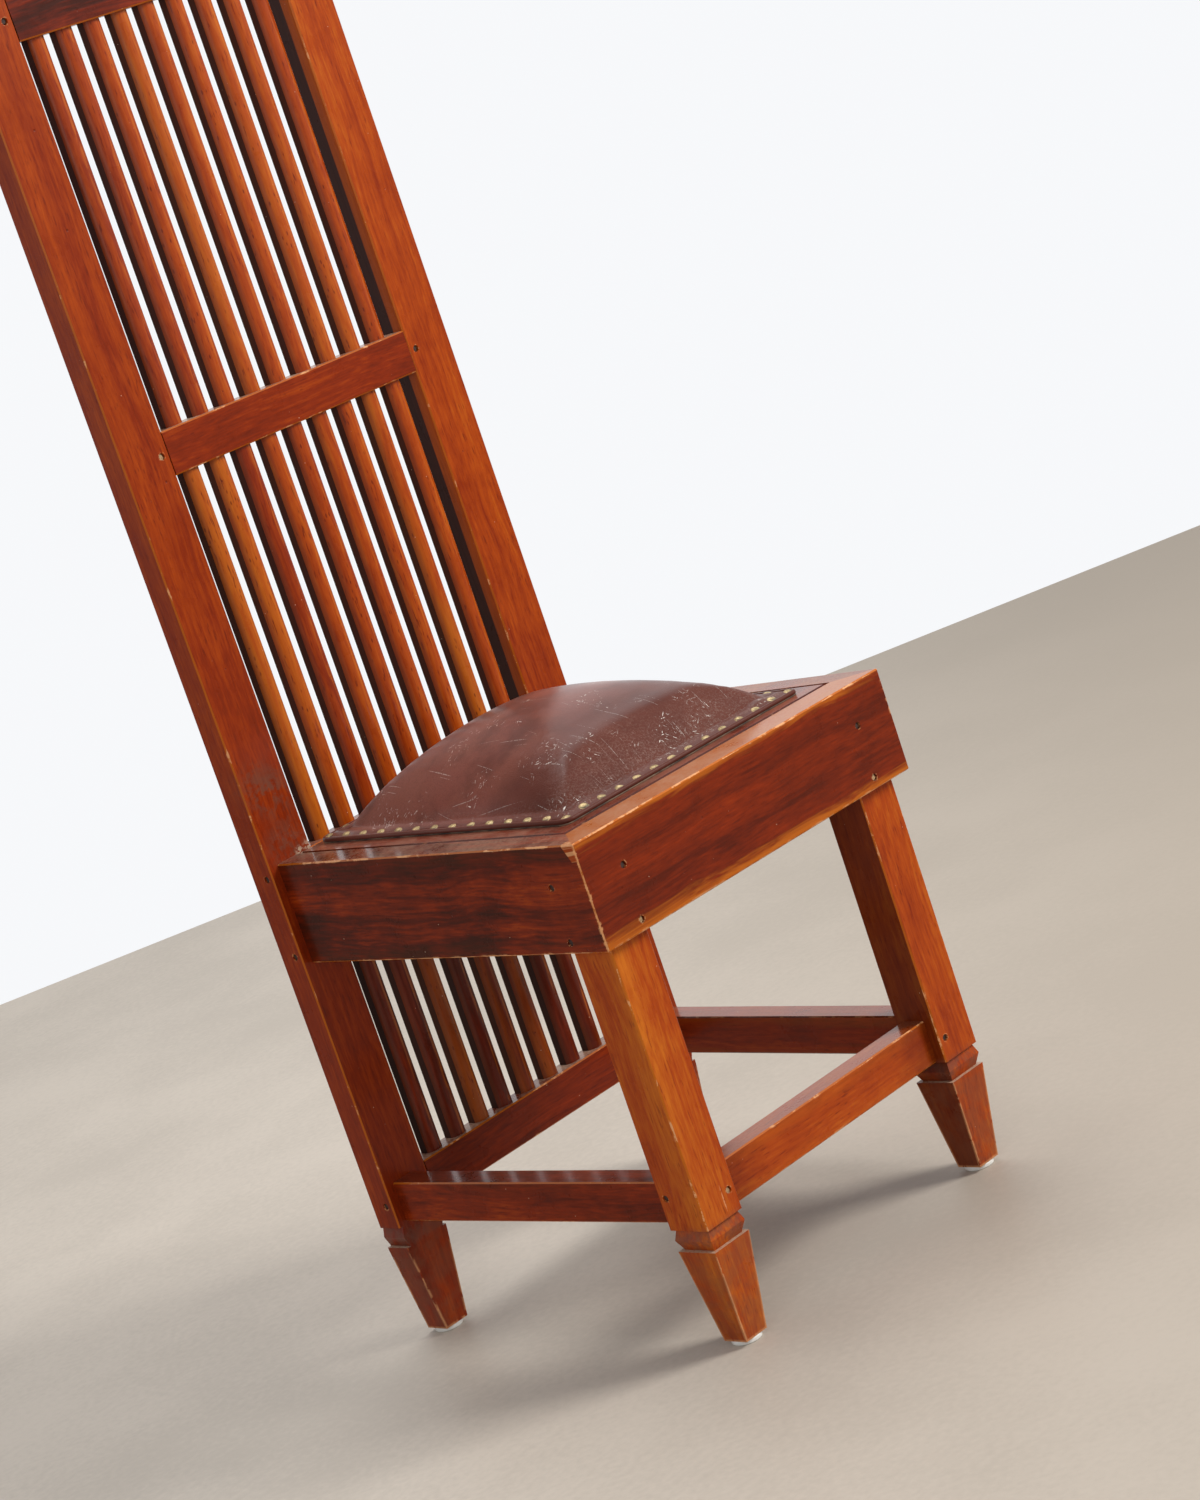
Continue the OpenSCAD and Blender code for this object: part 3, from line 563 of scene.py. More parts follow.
    def _rubbed(self, skin: Skin, edge: Value, end: Value) -> Value:
        """Paints a highlight on the rounded edges and painted shade on those marked inner, and finds where
        they are rubbed bare.

        Args:
            skin: The piece's surface.
            edge: Distance from the nearest edge.
            end: Distance from the ends.

        Returns:
            How bare each point is.
        """
        paint, board = skin.paint, skin.board
        # inner marks the edges that get painted shade: those facing +X, those facing in on rimmed pieces, and
        # every edge of a let-in piece.
        inner: Value | float = skin.side_x.rising(0.40, 0.60) * 0.8
        if board.shaded_arrises:
            inner = 1.0
        elif board.rim:
            level = paint.vector("MULTIPLY", skin.normal, (1.0, 1.0, 0.0)).outputs[0]
            outward = Value(paint, paint.vector("DOT_PRODUCT", skin.place, level).outputs["Value"])
            inner = inner.most(outward.falling(*self.facing_in))
        across, along, up = skin.square
        arris = across.most(along).most(up).falling(0.74, 0.86)
        # Painted highlight in bright on the edges, and painted shade in black where inner is 1.
        paint.lay(arris * 0.64, paint.mix(inner, self.bright, self.shade_black))
        low_down = skin.height.falling(self.foot_z, self.ledge_z)
        rubbing = skin.chatter * 0.6 + skin.fine * 0.4 + low_down * 0.16
        start = 0.62 - 0.14 * board.wear
        worn = arris * (1.0 - inner * 0.8) * rubbing.rising(start, start + 0.05)
        worn = worn.most(edge.falling(*self.nick_band) * rubbing.rising(start + 0.05, start + 0.09) * 0.8)
        if board.corner:
            worn = worn.most(end.falling(*self.corner_band) * rubbing.rising(0.36, 0.48) * board.corner)
        return worn

    def _soiled(self, skin: Skin) -> Value:
        """Lays smudges, scratches, dull feet and dust over the varnish.

        Args:
            skin: The piece's surface.

        Returns:
            How dusty each point is.
        """
        paint, board, place, chatter = skin.paint, skin.board, skin.place, skin.chatter
        for spot in board.smudges:
            near = paint.away(place, spot) + chatter.swing(0.05)
            cover = near.falling(self.smudge_r * 0.3, self.smudge_r)
            paint.lay(cover * chatter.rising(0.44, 0.60) * 0.6, self.smudge)
        crumbs = paint.cloud(place, self.crumb_scale, 3.0, 0.7)
        for spot, length in board.scratches:
            flat = self.scratch_w / length
            squat = paint.mapped(place, (1.0, 1.0, flat), (0.0, 0.0, spot[2] * (1.0 - flat)))
            line = (paint.away(squat, spot) + chatter.swing(0.002)).falling(*self.scratch_band)
            paint.lay(line * crumbs.rising(0.40, 0.52) * 0.55, self.bare)
        foot = skin.height.falling(self.foot_z, self.ledge_z)
        paint.lay(foot * chatter.rising(0.30, 0.60) * 0.42, self.dull)
        level = skin.up.rising(0.90, 0.98) * (skin.mottle * 0.5 + crumbs * 0.5).rising(0.36, 0.62)
        ledge = skin.up.rising(0.30, 0.70) * skin.height.falling(self.ledge_z, self.ledge_z + self.ledge_h)
        settled = (level * board.settled).most(ledge * crumbs.rising(0.30, 0.48) * 0.85)
        for spot, reach in board.dusty:
            heap = (paint.away(place, spot) + chatter.swing(reach)).falling(reach * 0.3, reach)
            settled = settled.most(heap * crumbs.rising(0.44, 0.54) * 0.9)
        paint.lay(settled, self.dust)
        return settled

    def _finished(self, skin: Skin, worn: Value | None, gloss: "Value | float",
                  rough: "Value | float") -> bpy.types.Material:
        """Lays the dents, bare wood, specks and dirt, and ends the material.

        Args:
            skin: The piece's surface.
            worn: How bare each point is, or None for none.
            gloss: Weight of the clear coat on upright faces.
            rough: Roughness on average.

        Returns:
            The material.
        """
        paint, chatter = skin.paint, skin.chatter
        dent = (paint.cells(skin.place, self.dent_scale) + chatter.swing(0.1)).falling(0.015, 0.045)
        paint.lay(dent * 0.7, self.deep)
        if worn is not None:
            paint.lay(worn, self.bare)
            rough = worn * 0.3 + rough
        specks = paint.cells(skin.place, self.speck_scale).falling(0.025, 0.05)
        paint.lay(specks * chatter.rising(0.52, 0.58) * 0.8, self.speck)
        settled = self._soiled(skin)
        coat = skin.up.rising(0.2, 0.9) * 0.48 + gloss
        return paint.finish(skin.fine * 0.4 + skin.mottle * 0.4 - dent * 0.8, self.relief, {
            "Roughness": skin.mottle.swing(0.25) + settled * 0.2 + rough, "Specular IOR Level": 0.08,
            "Coat Weight": coat * (1.0 - settled * 0.6), "Coat Roughness": 0.14,
        })

    def on_board(self, board: Board, seed: int, box: Box,
                 marks: tuple[Vector, ...] = ()) -> bpy.types.Material:
        """Builds the varnish for one piece.

        Args:
            board: The piece.
            seed: Picks the part of the pattern.
            box: Lowest and highest corner of the piece, in its own turn.
            marks: Ends of the pegs in the piece.

        Returns:
            The material.
        """
        paint = Paint(bpy.data.materials.new(board.node + "_varnish"))
        skin = Skin(paint, board, box)
        low, shade = box[0], board.tone
        # Painted light: lighter towards the front end.
        if board.painted_front_light:
            along = paint.parts(skin.point)[1]
            shade = along.falling(low.y, low.y + self.front_light_reach) * board.painted_front_light + shade
        if board.climb:
            shade = (skin.height - low.z) * board.climb + shade
        self._figured(skin, skin.point, shade, seed)
        self._pored(skin, skin.point, 0.5, 0.4, (0.55, 0.63))
        edge, end, top = self._edge_distances(skin)
        self._lit(skin, end, top)
        worn = self._rubbed(skin, edge, end)
        for mark in marks:
            ring = paint.away(skin.place, mark).falling(*self.ring_band)
            broken = paint.cloud(skin.place, self.ring_scale, 1.0).rising(0.54, 0.60)
            worn = worn.most(ring * broken * 0.5)
        if board.spline:
            pale = paint.mix(skin.fine.rising(0.46, 0.56), self.warm, self.bare)
            paint.lay(self._spline(skin) * 0.85, pale)
        return self._finished(skin, worn, 0.07, 0.30)

    def on_row(self, board: Board, seed: int, box: Box, pitch: float) -> bpy.types.Material:
        """Builds the varnish for a row of spindles, each with its own figure and tone, and with painted
        highlight, sheen and shade across its front and sides.

        Args:
            board: What the row's spindles have in common.
            seed: Picks the part of the pattern.
            box: Lowest and highest corner of the first spindle.
            pitch: Distance between spindles.

        Returns:
            The material.
        """
        paint = Paint(bpy.data.materials.new(board.node + "_varnish"))
        skin = Skin(paint, board, box)
        number = (paint.parts(skin.place)[0] * (1.0 / pitch) + 0.5).floored() + seed * 17.3
        lot = paint.node("ShaderNodeTexWhiteNoise", {"noise_dimensions": "1D"}, {"W": number})
        pick = Value(paint, lot.outputs["Value"])
        point = paint.vector("ADD", skin.point, lot.outputs["Color"]).outputs[0]
        self._figured(skin, point, pick.swing(0.14) + board.tone, seed)
        paint.lay(pick.rising(0.62, 0.90) * skin.broad.rising(0.36, 0.60) * 0.45, self.gold)
        self._pored(skin, point, 0.7, 0.75, (0.44, 0.58))
        right, square = skin.side_x, skin.square[0]
        # Painted highlight: a light strip on the right of each front.
        highlight_strip = right.rising(0.02, 0.22) * right.falling(0.40, 0.60)
        paint.lay(highlight_strip * skin.fine.rising(0.44, 0.58) * 0.45, self.bright)
        # Painted sheen and shade on the left of each front.
        paint.lay((right * -1.0).rising(0.46, 0.78) * 0.36, self.dull)
        # Painted shade on the flat sides.
        paint.lay(square.rising(0.83, 0.97) * 0.84, self.shade_black)
        beside = square.rising(0.50, 0.90)
        return self._finished(skin, None, 0.22 - beside * 0.20, 0.30 + beside * 0.3)


@dataclass(frozen=True)
class Plain:
    """A dull, cloudy finish for the hidden and small pieces."""

    main: Colour
    other: Colour
    scale: float = 60.0
    rough: float = 0.6
    metal: float = 0.0
    relief: float = 0.0003
    fineness: float = 9.0
    patches: Band = (0.36, 0.64)

    def material(self, name: str) -> bpy.types.Material:
        """Builds the finish.

        Args:
            name: The material's name.

        Returns:
            The material.
        """
        paint = Paint(bpy.data.materials.new(name))
        place = paint.place()
        cloud = paint.cloud(place, self.scale, 5.0, 0.6)
        paint.colour = paint.mix(cloud.rising(*self.patches), self.main, self.other)
        fine = paint.cloud(place, self.scale * self.fineness, 2.0)
        return paint.finish(fine, self.relief, {
            "Roughness": cloud.swing(0.3) + self.rough, "Metallic": self.metal,
        })


@dataclass(frozen=True)
class Strokes:
    """Thin strokes of one kind, lengths in metres and directions as angles."""

    length: float
    width: float
    keep: float
    turns: tuple[float, ...]
    soft: float = 0.02
    step: Spot = (1.7, 3.1, 1.0)

    def drawn(self, paint: Paint, place: bpy.types.NodeSocket) -> Value:
        """Draws the strokes where stretched noise is above `keep`.

        Args:
            paint: The material.
            place: The point.

        Returns:
            1 on a stroke.
        """
        found = []
        size = (1.0 / self.length, 1.0 / self.width, 1.0 / self.length)
        for number, turn in enumerate(self.turns):
            shift = tuple(number * step for step in self.step)
            along = paint.mapped(paint.mapped(place, turn=turn), size, shift)
            found.append(paint.cloud(along, 1.0, 0.0).rising(self.keep, self.keep + self.soft))
        total = found[0]
        for stroke in found[1:]:
            total = stroke.most(total)
        return total


@dataclass(frozen=True)
class Leather:
    """Dark maroon leather, crazed near its front and scratched, with painted shade on its front flank and
    towards its right side.

    Lengths are in metres and scales in features per metre. A Band is where a mask begins and ends.
    """

    body: Colour = (0.262, 0.082, 0.054)
    deep: Colour = (0.092, 0.025, 0.016)
    red: Colour = (0.225, 0.060, 0.043)
    crack: Colour = (0.44, 0.33, 0.28)
    scratch: Colour = (0.88, 0.80, 0.72)
    cloud_scale: float = 16.0
    red_scale: float = 9.0
    bend_scale: float = 160.0
    bend: float = 0.004
    patch_scale: float = 70.0
    coarse_scale: float = 360.0
    dense_scale: float = 520.0
    broken_scale: float = 480.0
    pebble_scale: float = 950.0
    crowd_scale: float = 26.0
    nibble_scale: float = 700.0
    prick_scale: float = 110.0
    front_skew: float = 0.06
    front_band: Band = (0.006, 0.072)
    foot_band: Band = (0.004, 0.022)
    fold_band: Band = (0.0048, 0.0060)
    shaded_flank_band: Band = (0.050, 0.125)
    shaded_far_side: Band = (-0.12, 0.10)
    relief: float = 0.0005
    short: Strokes = Strokes(0.0075, 0.0011, 0.78, (0.1, -0.5, 0.8, 1.7))
    long: Strokes = Strokes(0.060, 0.0012, 0.81, (1.45, 1.8))

    def _crazing(self, paint: Paint, place: bpy.types.NodeSocket, bent: bpy.types.NodeSocket) -> Value:
        """Draws broken cracks, coarse in some patches and dense in the others.

        Args:
            paint: The material.
            place: The point.
            bent: The point, bent so that the cracks aren't straight.

        Returns:
            1 on a crack.
        """
        patch = paint.cloud(place, self.patch_scale, 2.0)
        coarse = paint.cells(bent, self.coarse_scale, "DISTANCE_TO_EDGE").falling(0.03, 0.09)
        dense = paint.cells(bent, self.dense_scale, "DISTANCE_TO_EDGE").falling(0.04, 0.15)
        cracks = (coarse * patch.rising(0.44, 0.54)).most(dense * patch.falling(0.46, 0.58) * 0.8)
        return cracks * paint.cloud(place, self.broken_scale, 2.0).rising(0.40, 0.58)

    def _scratches(self, paint: Paint, place: bpy.types.NodeSocket) -> Value:
        """Draws crowds of short scratches and pricks, and a few long scratches.

        Args:
            paint: The material.
            place: The point.

        Returns:
            1 on a scratch.
        """
        crowd = paint.cloud(place, self.crowd_scale, 1.0).rising(0.50, 0.66)
        nibbled = paint.cloud(place, self.nibble_scale, 1.0).rising(0.40, 0.50)
        scratches = (self.short.drawn(paint, place) * crowd).most(self.long.drawn(paint, place) * 0.4)
        pricks = paint.cells(place, self.prick_scale).falling(0.035, 0.06) * crowd * 0.8
        return (scratches * nibbled).most(pricks)

    def material(self, name: str, low: Vector) -> bpy.types.Material:
        """Builds the leather.

        Args:
            name: The material's name.
            low: The pad's lowest corner.

        Returns:
            The material.
        """
        paint = Paint(bpy.data.materials.new(name))
        place = paint.place()
        x, y, z = paint.parts(place)
        up, in_y = z - low.z, y - low.y
        cloud = paint.cloud(place, self.cloud_scale, 4.0, 0.6)
        front = (in_y + (x - low.x) * self.front_skew + cloud.swing(0.10)).falling(*self.front_band)
        foot = (up + cloud.swing(0.02)).falling(*self.foot_band)
        tired = front.most(foot * 0.4)
        fold = up.falling(*self.fold_band)
        shaded_flank = (in_y + cloud.swing(0.06)).falling(*self.shaded_flank_band)
        paint.colour = paint.mix(cloud.rising(0.38, 0.66), self.body, self.deep)
        paint.lay(paint.cloud(place, self.red_scale, 2.0).rising(0.46, 0.64) * 0.6, self.red)
        # Painted shade: darker towards the right side and on the front flank.
        paint.lay(x.rising(*self.shaded_far_side) * 0.20, self.deep)
        paint.lay(shaded_flank * 0.78, self.deep)
        bent = paint.bent(place, self.bend_scale, 2.0, self.bend, place)
        crazing = self._crazing(paint, place, bent) * tired * (1.0 - fold)
        paint.lay(crazing * 0.40, self.crack)
        pebble = paint.cells(bent, self.pebble_scale)
        paint.lay(pebble.rising(0.45, 0.75) * 0.25, self.deep)
        scratched = self._scratches(paint, place) * (1.0 - fold)
        paint.lay(scratched, self.scratch)
        paint.lay(fold * 0.6, self.deep)
        flat = paint.parts(paint.facing())[2].rising(0.84, 0.96) * (1.0 - front * 0.3)
        relief = pebble * 0.3 - crazing * 0.5 - scratched * 0.4 + cloud * 0.4
        return paint.finish(relief, self.relief, {
            "Roughness": 0.42 + tired * 0.16 + cloud.swing(0.2) - fold * 0.14, "Specular IOR Level": 0.08,
            "Coat Weight": 0.30 + flat * 0.55 - shaded_flank * 0.24, "Coat Roughness": 0.3,
        })


@dataclass(frozen=True)
class Brass:
    """Tarnished, dented brass."""

    bright: Colour = (0.60, 0.46, 0.23)
    dull: Colour = (0.30, 0.22, 0.105)
    grime: Colour = (0.045, 0.028, 0.016)
    cloud_scale: float = 260.0
    steep_band: Band = (0.62, 0.84)
    relief: float = 0.0004

    def material(self, name: str) -> bpy.types.Material:
        """Builds the brass.

        Args:
            name: The material's name.

        Returns:
            The material.
        """
        paint = Paint(bpy.data.materials.new(name))
        cloud = paint.cloud(paint.place(), self.cloud_scale, 4.0, 0.65)
        paint.colour = paint.mix(cloud.rising(0.40, 0.62), self.bright, self.dull)
        grimy = (paint.parts(paint.facing())[2] + cloud.swing(0.3)).falling(*self.steep_band)
        paint.lay(grimy * 0.85, self.grime)
        return paint.finish(cloud, self.relief, {
            "Roughness": 0.40 + cloud * 0.25, "Metallic": 0.55 - grimy * 0.45,
        })


def placed(name: str, data: Any) -> bpy.types.Object:
    """Puts a new object into the scene.

    Args:
        name: The object's name.
        data: Its mesh, curve, camera or light.

    Returns:
        The object.
    """
    item = bpy.data.objects.new(name, data)
    bpy.context.scene.collection.objects.link(item)
    return item


@dataclass(frozen=True)
class Viewpoint:
    """The camera that looks at the chair as it was first seen, angles in radians and sizes in mm."""

    place: Spot = (-1.94226, -2.22566, 1.05758)
    heading: float = -0.7295754
    tilt: float = 1.3664253
    roll: float = -0.3287950
    lens: float = 86.69
    sensor_w: float = 36.0

    def build(self) -> None:
        """Makes the camera and looks through it."""
        camera = placed("camera", bpy.data.cameras.new("camera"))
        camera.data.lens, camera.data.sensor_width = self.lens, self.sensor_w
        turn = Matrix.Rotation(self.heading, 4, "Z") @ Matrix.Rotation(self.tilt, 4, "X")
        camera.matrix_world = Matrix.Translation(self.place) @ turn @ Matrix.Rotation(self.roll, 4, "Z")
        bpy.context.scene.camera = camera


@dataclass(frozen=True)
class Softbox:
    """One square soft light that points at the seat."""

    name: str
    place: Spot
    size: float
    watts: float
    colour: Colour = (1.0, 1.0, 1.0)

    def build(self, aim: Vector) -> None:
        """Hangs the light.

        Args:
            aim: The point that it faces.
        """
        lamp = bpy.data.lights.new(self.name, "AREA")
        lamp.size, lamp.energy, lamp.color = self.size, self.watts, self.colour
        light = placed(self.name, lamp)
        turn = (aim - Vector(self.place)).to_track_quat("-Z", "Y").to_matrix().to_4x4()
        light.matrix_world = Matrix.Translation(self.place) @ turn
        light.visible_camera = False


@dataclass(frozen=True)
class Studio:
    """A pale floor, a white wall behind the chair, and soft lights. Lengths are in metres."""

    floor_half: float = 7.0
    wall_from: tuple[float, float] = (0.589, 1.929)
    wall_to: tuple[float, float] = (2.259, 1.050)
    wall_half: float = 4.5
    wall_h: float = 3.2
    wall_glow: float = 0.45
    floor_tone: Colour = (0.60, 0.53, 0.45)
    floor_shade: Colour = (0.51, 0.45, 0.38)
    far_floor_shade: Colour = (0.36, 0.30, 0.235)
    far_way: tuple[float, float] = (0.745, -0.667)
    far_band: Band = (-0.4, 0.9)
    blotch_scale: float = 2.6
    grit_scale: float = 140.0
    relief: float = 0.0004
    wall_tone: Colour = (0.93, 0.94, 0.96)
    ambient: Colour = (0.37, 0.375, 0.385)
    aim: Spot = (0.0, 0.0, 0.5)
    lights: tuple[Softbox, ...] = (
        Softbox("key", (2.0, -2.6, 2.5), 1.3, 125.0, (1.0, 0.985, 0.96)),
        Softbox("front_fill", (-2.8, -1.8, 1.6), 1.8, 20.0, (0.90, 0.94, 1.0)),
        Softbox("top", (0.3, 0.8, 3.2), 1.6, 40.0),
    )

    def _sheet(self, name: str, half: float, lie: Matrix, material: bpy.types.Material) -> bpy.types.Object:
        """Makes one flat square.

        Args:
            name: The square's name.
            half: Half of its side.
            lie: Where it goes.
            material: Its finish.

        Returns:
            The square.
        """
        mesh = bpy.data.meshes.new(name)
        bm = bmesh.new()
        bmesh.ops.create_grid(bm, x_segments=1, y_segments=1, size=half, matrix=lie)
        bm.normal_update()
        bm.to_mesh(mesh)
        bm.free()
        mesh.materials.append(material)
        return placed(name, mesh)

    def _floor(self) -> bpy.types.Object:
        """Lays the floor, with painted shade making it darker far to the right.

        Returns:
            The floor.
        """
        paint = Paint(bpy.data.materials.new("floor"))
        place = paint.place()
        x, y, _ = paint.parts(place)
        grit = paint.cloud(place, self.grit_scale, 2.0)
        cloud = paint.cloud(place, self.blotch_scale, 6.0, 0.6) * 0.7 + grit * 0.3
        paint.colour = paint.mix(cloud.rising(0.36, 0.64), self.floor_tone, self.floor_shade)
        # Painted shade: darker far to the right.
        away = x * self.far_way[0] + y * self.far_way[1]
        paint.lay(away.rising(*self.far_band) * 0.9, self.far_floor_shade)
        concrete = paint.finish(cloud, self.relief, {"Roughness": 0.55})
        return self._sheet("floor", self.floor_half, Matrix(), concrete)

    def _wall(self) -> bpy.types.Object:
        """Stands the wall along its line on the floor, seen only from the chair's side.

        Returns:
            The wall.
        """
        start, end, up = Vector((*self.wall_from, 0.0)), Vector((*self.wall_to, 0.0)), Vector((0.0, 0.0, 1.0))
        along = (end - start).normalized()
        stood = Matrix((along, up, along.cross(up))).transposed().to_4x4()
        size = Matrix.Diagonal((self.wall_half * 2.0, self.wall_h, 1.0, 1.0))
        lift = Matrix.Translation((start + end) / 2 + up * self.wall_h / 2)
        paint = Paint(bpy.data.materials.new("wall"))
        lit = paint.node("ShaderNodeEmission", {}, {"Color": self.wall_tone, "Strength": 1.0})
        dull = paint.node("ShaderNodeEmission", {}, {"Color": self.wall_tone, "Strength": self.wall_glow})
        face = paint.node("ShaderNodeMixShader", {}, {0: paint.seen(), 1: dull.outputs[0], 2: lit.outputs[0]})
        clear = paint.node("ShaderNodeBsdfTransparent", {}, {})
        back = paint.node("ShaderNodeNewGeometry", {}, {}).outputs["Backfacing"]
        both = paint.node("ShaderNodeMixShader", {}, {0: back, 1: face.outputs[0], 2: clear.outputs[0]})
        paint.node("ShaderNodeOutputMaterial", {}, {"Surface": both.outputs[0]})
        return self._sheet("wall", 0.5, lift @ stood @ size, paint.owner)

    def _world(self) -> None:
        """Makes the surroundings white to the camera and dim to the chair."""
        world = bpy.data.worlds.new("studio")
        paint = Paint(world)
        dim = paint.node("ShaderNodeBackground", {}, {"Color": self.ambient, "Strength": 1.0})
        white = paint.node("ShaderNodeBackground", {}, {"Color": self.wall_tone, "Strength": 1.0})
        shares = {0: paint.seen(), 1: dim.outputs[0], 2: white.outputs[0]}
        both = paint.node("ShaderNodeMixShader", {}, shares)
        paint.node("ShaderNodeOutputWorld", {}, {"Surface": both.outputs[0]})
        bpy.context.scene.world = world

    def build(self) -> None:
        """Builds the studio."""
        self._floor()
        self._wall()
        self._world()
        for light in self.lights:
            light.build(Vector(self.aim))
        bpy.context.scene.view_settings.view_transform = "Standard"


def dress(node: str, material: bpy.types.Material) -> None:
    """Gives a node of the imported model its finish.

    Args:
        node: The node's name.
        material: The finish.
    """
    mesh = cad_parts[node].data
    mesh.materials.clear()
    mesh.materials.append(material)
    LOG.info("dressed %s with %s", node, material.name)


def islands(node: str) -> list[list[Vector]]:
    """Finds the separate solids of a node.

    Args:
        node: The node's name.

    Returns:
        The points of each solid, in the order of the mesh, which is the same in every run.
    """
    bm = bmesh.new()
    bm.from_mesh(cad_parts[node].data)
    bmesh.ops.remove_doubles(bm, verts=bm.verts, dist=WELD)
    seen, found = set(), []
    for start in bm.verts:
        if start in seen:
            continue
        seen.add(start)
        group, front = [], [start]
        while front:
            vert = front.pop()
            group.append(vert.co.copy())
            near = [edge.other_vert(vert) for edge in vert.link_edges]
            fresh = [other for other in near if other not in seen]
            seen.update(fresh)
            front.extend(fresh)
        found.append(group)
    bm.free()
    return found


def corners(points: list[Vector]) -> Box:
    """Finds the box round some points.

    Args:
        points: The points.

    Returns:
        The box's lowest and highest corner.
    """
    low = Vector([min(point[i] for point in points) for i in range(3)])
    high = Vector([max(point[i] for point in points) for i in range(3)])
    return low, high


def smooth(share: float) -> float:
    """Eases a share from 0 to 1, held at both ends."""
    share = min(max(share, 0.0), 1.0)
    return share * share * (3.0 - 2.0 * share)


def shown(name: str, bm: bmesh.types.BMesh, materials: tuple[bpy.types.Material, ...]) -> bpy.types.Object:
    """Turns a finished bmesh into a piece.

    Args:
        name: The piece's name.
        bm: Its mesh, which is freed.
        materials: Its finishes, in the order of the faces' numbers.

    Returns:
        The piece.
    """
    mesh = bpy.data.meshes.new(name)
    bm.to_mesh(mesh)
    bm.free()
    for material in materials:
        mesh.materials.append(material)
    LOG.info("%s: %d faces", name, len(mesh.polygons))
    return placed(name, mesh)


@dataclass
class Pegs:
    """The wooden pegs, sunk in their holes, each end with a pale crescent on one side.

    Attributes:
        r: Radius of a peg.
        sides: Sides of a peg.
        crescent: Width of the rim round the middle.
        hollow: How deep the middle lies.
        off_centre: How far the middle is moved, as a share of the rim's width.
        pale_from: How far to one side the rim is pale, as a share of the radius.
        turns: The crescent's direction, from and to.
        plain_share: Share of ends whose middle is pale too.
        seed: Seed of the unevenness.
        dark: Finish of the dirty wood.
        pale: Finish of the bare wood.
    """

    r: float = 0.00296
    sides: int = 16
    crescent: float = 0.0013
    hollow: float = 0.0003
    off_centre: float = 0.85
    pale_from: float = 0.35
    turns: Band = (2.2, 4.2)
    plain_share: float = 0.2
    seed: int = 5
    dark: Plain = Plain((0.022, 0.009, 0.006), (0.055, 0.020, 0.010), 500.0, 0.7)
    pale: Plain = Plain((0.55, 0.37, 0.19), (0.34, 0.19, 0.09), 600.0, 0.65)

    def _spans(self) -> list[tuple[Vector, Vector]]:
        """Finds each peg's two ends on its axis.

        Returns:
            The pairs of ends.
        """
        found = []
        for points in islands("pegs"):
            low, high = corners(points)
            size, middle = high - low, (low + high) / 2
            axis = max(range(3), key=lambda i: size[i])
            first, second = middle.copy(), middle.copy()
            first[axis], second[axis] = low[axis], high[axis]
            found.append((first, second))
        return found

    def _end(self, bm: bmesh.types.BMesh, place: Vector, way: Vector,
             dice: random.Random) -> list[bmesh.types.BMEdge]:
        """Makes one end with its crescent.

        Args:
            bm: The mesh.
            place: Middle of the end.
            way: Direction out of the hole.
            dice: Source of the unevenness.

        Returns:
            The end's outer edges.
        """
        rim = bmesh.ops.create_circle(bm, cap_ends=True, radius=self.r, segments=self.sides)["verts"]
        face = rim[0].link_faces[0]
        edges = list(face.edges)
        ring = bmesh.ops.inset_region(bm, faces=[face], thickness=self.crescent, depth=-self.hollow)["faces"]
        turn = dice.uniform(*self.turns)
        face.material_index = int(dice.random() < self.plain_share)
        shift = Vector((math.cos(turn), math.sin(turn), 0.0)) * self.crescent * self.off_centre
        bmesh.ops.translate(bm, vec=shift, verts=list(face.verts))
        for part in ring:
            beside = part.calc_center_median().dot(shift)
            part.material_index = int(beside < -self.r * self.crescent * self.pale_from)
        verts = list({vert for part in (face, *ring) for vert in part.verts})
        stand = Matrix.Translation(place) @ way.to_track_quat("Z", "Y").to_matrix().to_4x4()
        bmesh.ops.transform(bm, matrix=stand, verts=verts)
        return edges

    def build(self) -> list[Vector]:
        """Makes the pegs.

        Returns:
            The places of all their ends.
        """
        dice = random.Random(self.seed)
        bm = bmesh.new()
        ends = []
        for first, second in self._spans():
            way = (second - first).normalized()
            edges = self._end(bm, second, way, dice) + self._end(bm, first, -way, dice)
            bmesh.ops.bridge_loops(bm, edges=edges)
            ends += [first, second]
        bmesh.ops.recalc_face_normals(bm, faces=bm.faces)
        pegs = shown("peg_ends", bm, (self.dark.material("peg_dark"), self.pale.material("peg_pale")))
        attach(pegs, "frame")
        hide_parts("pegs")
        return ends


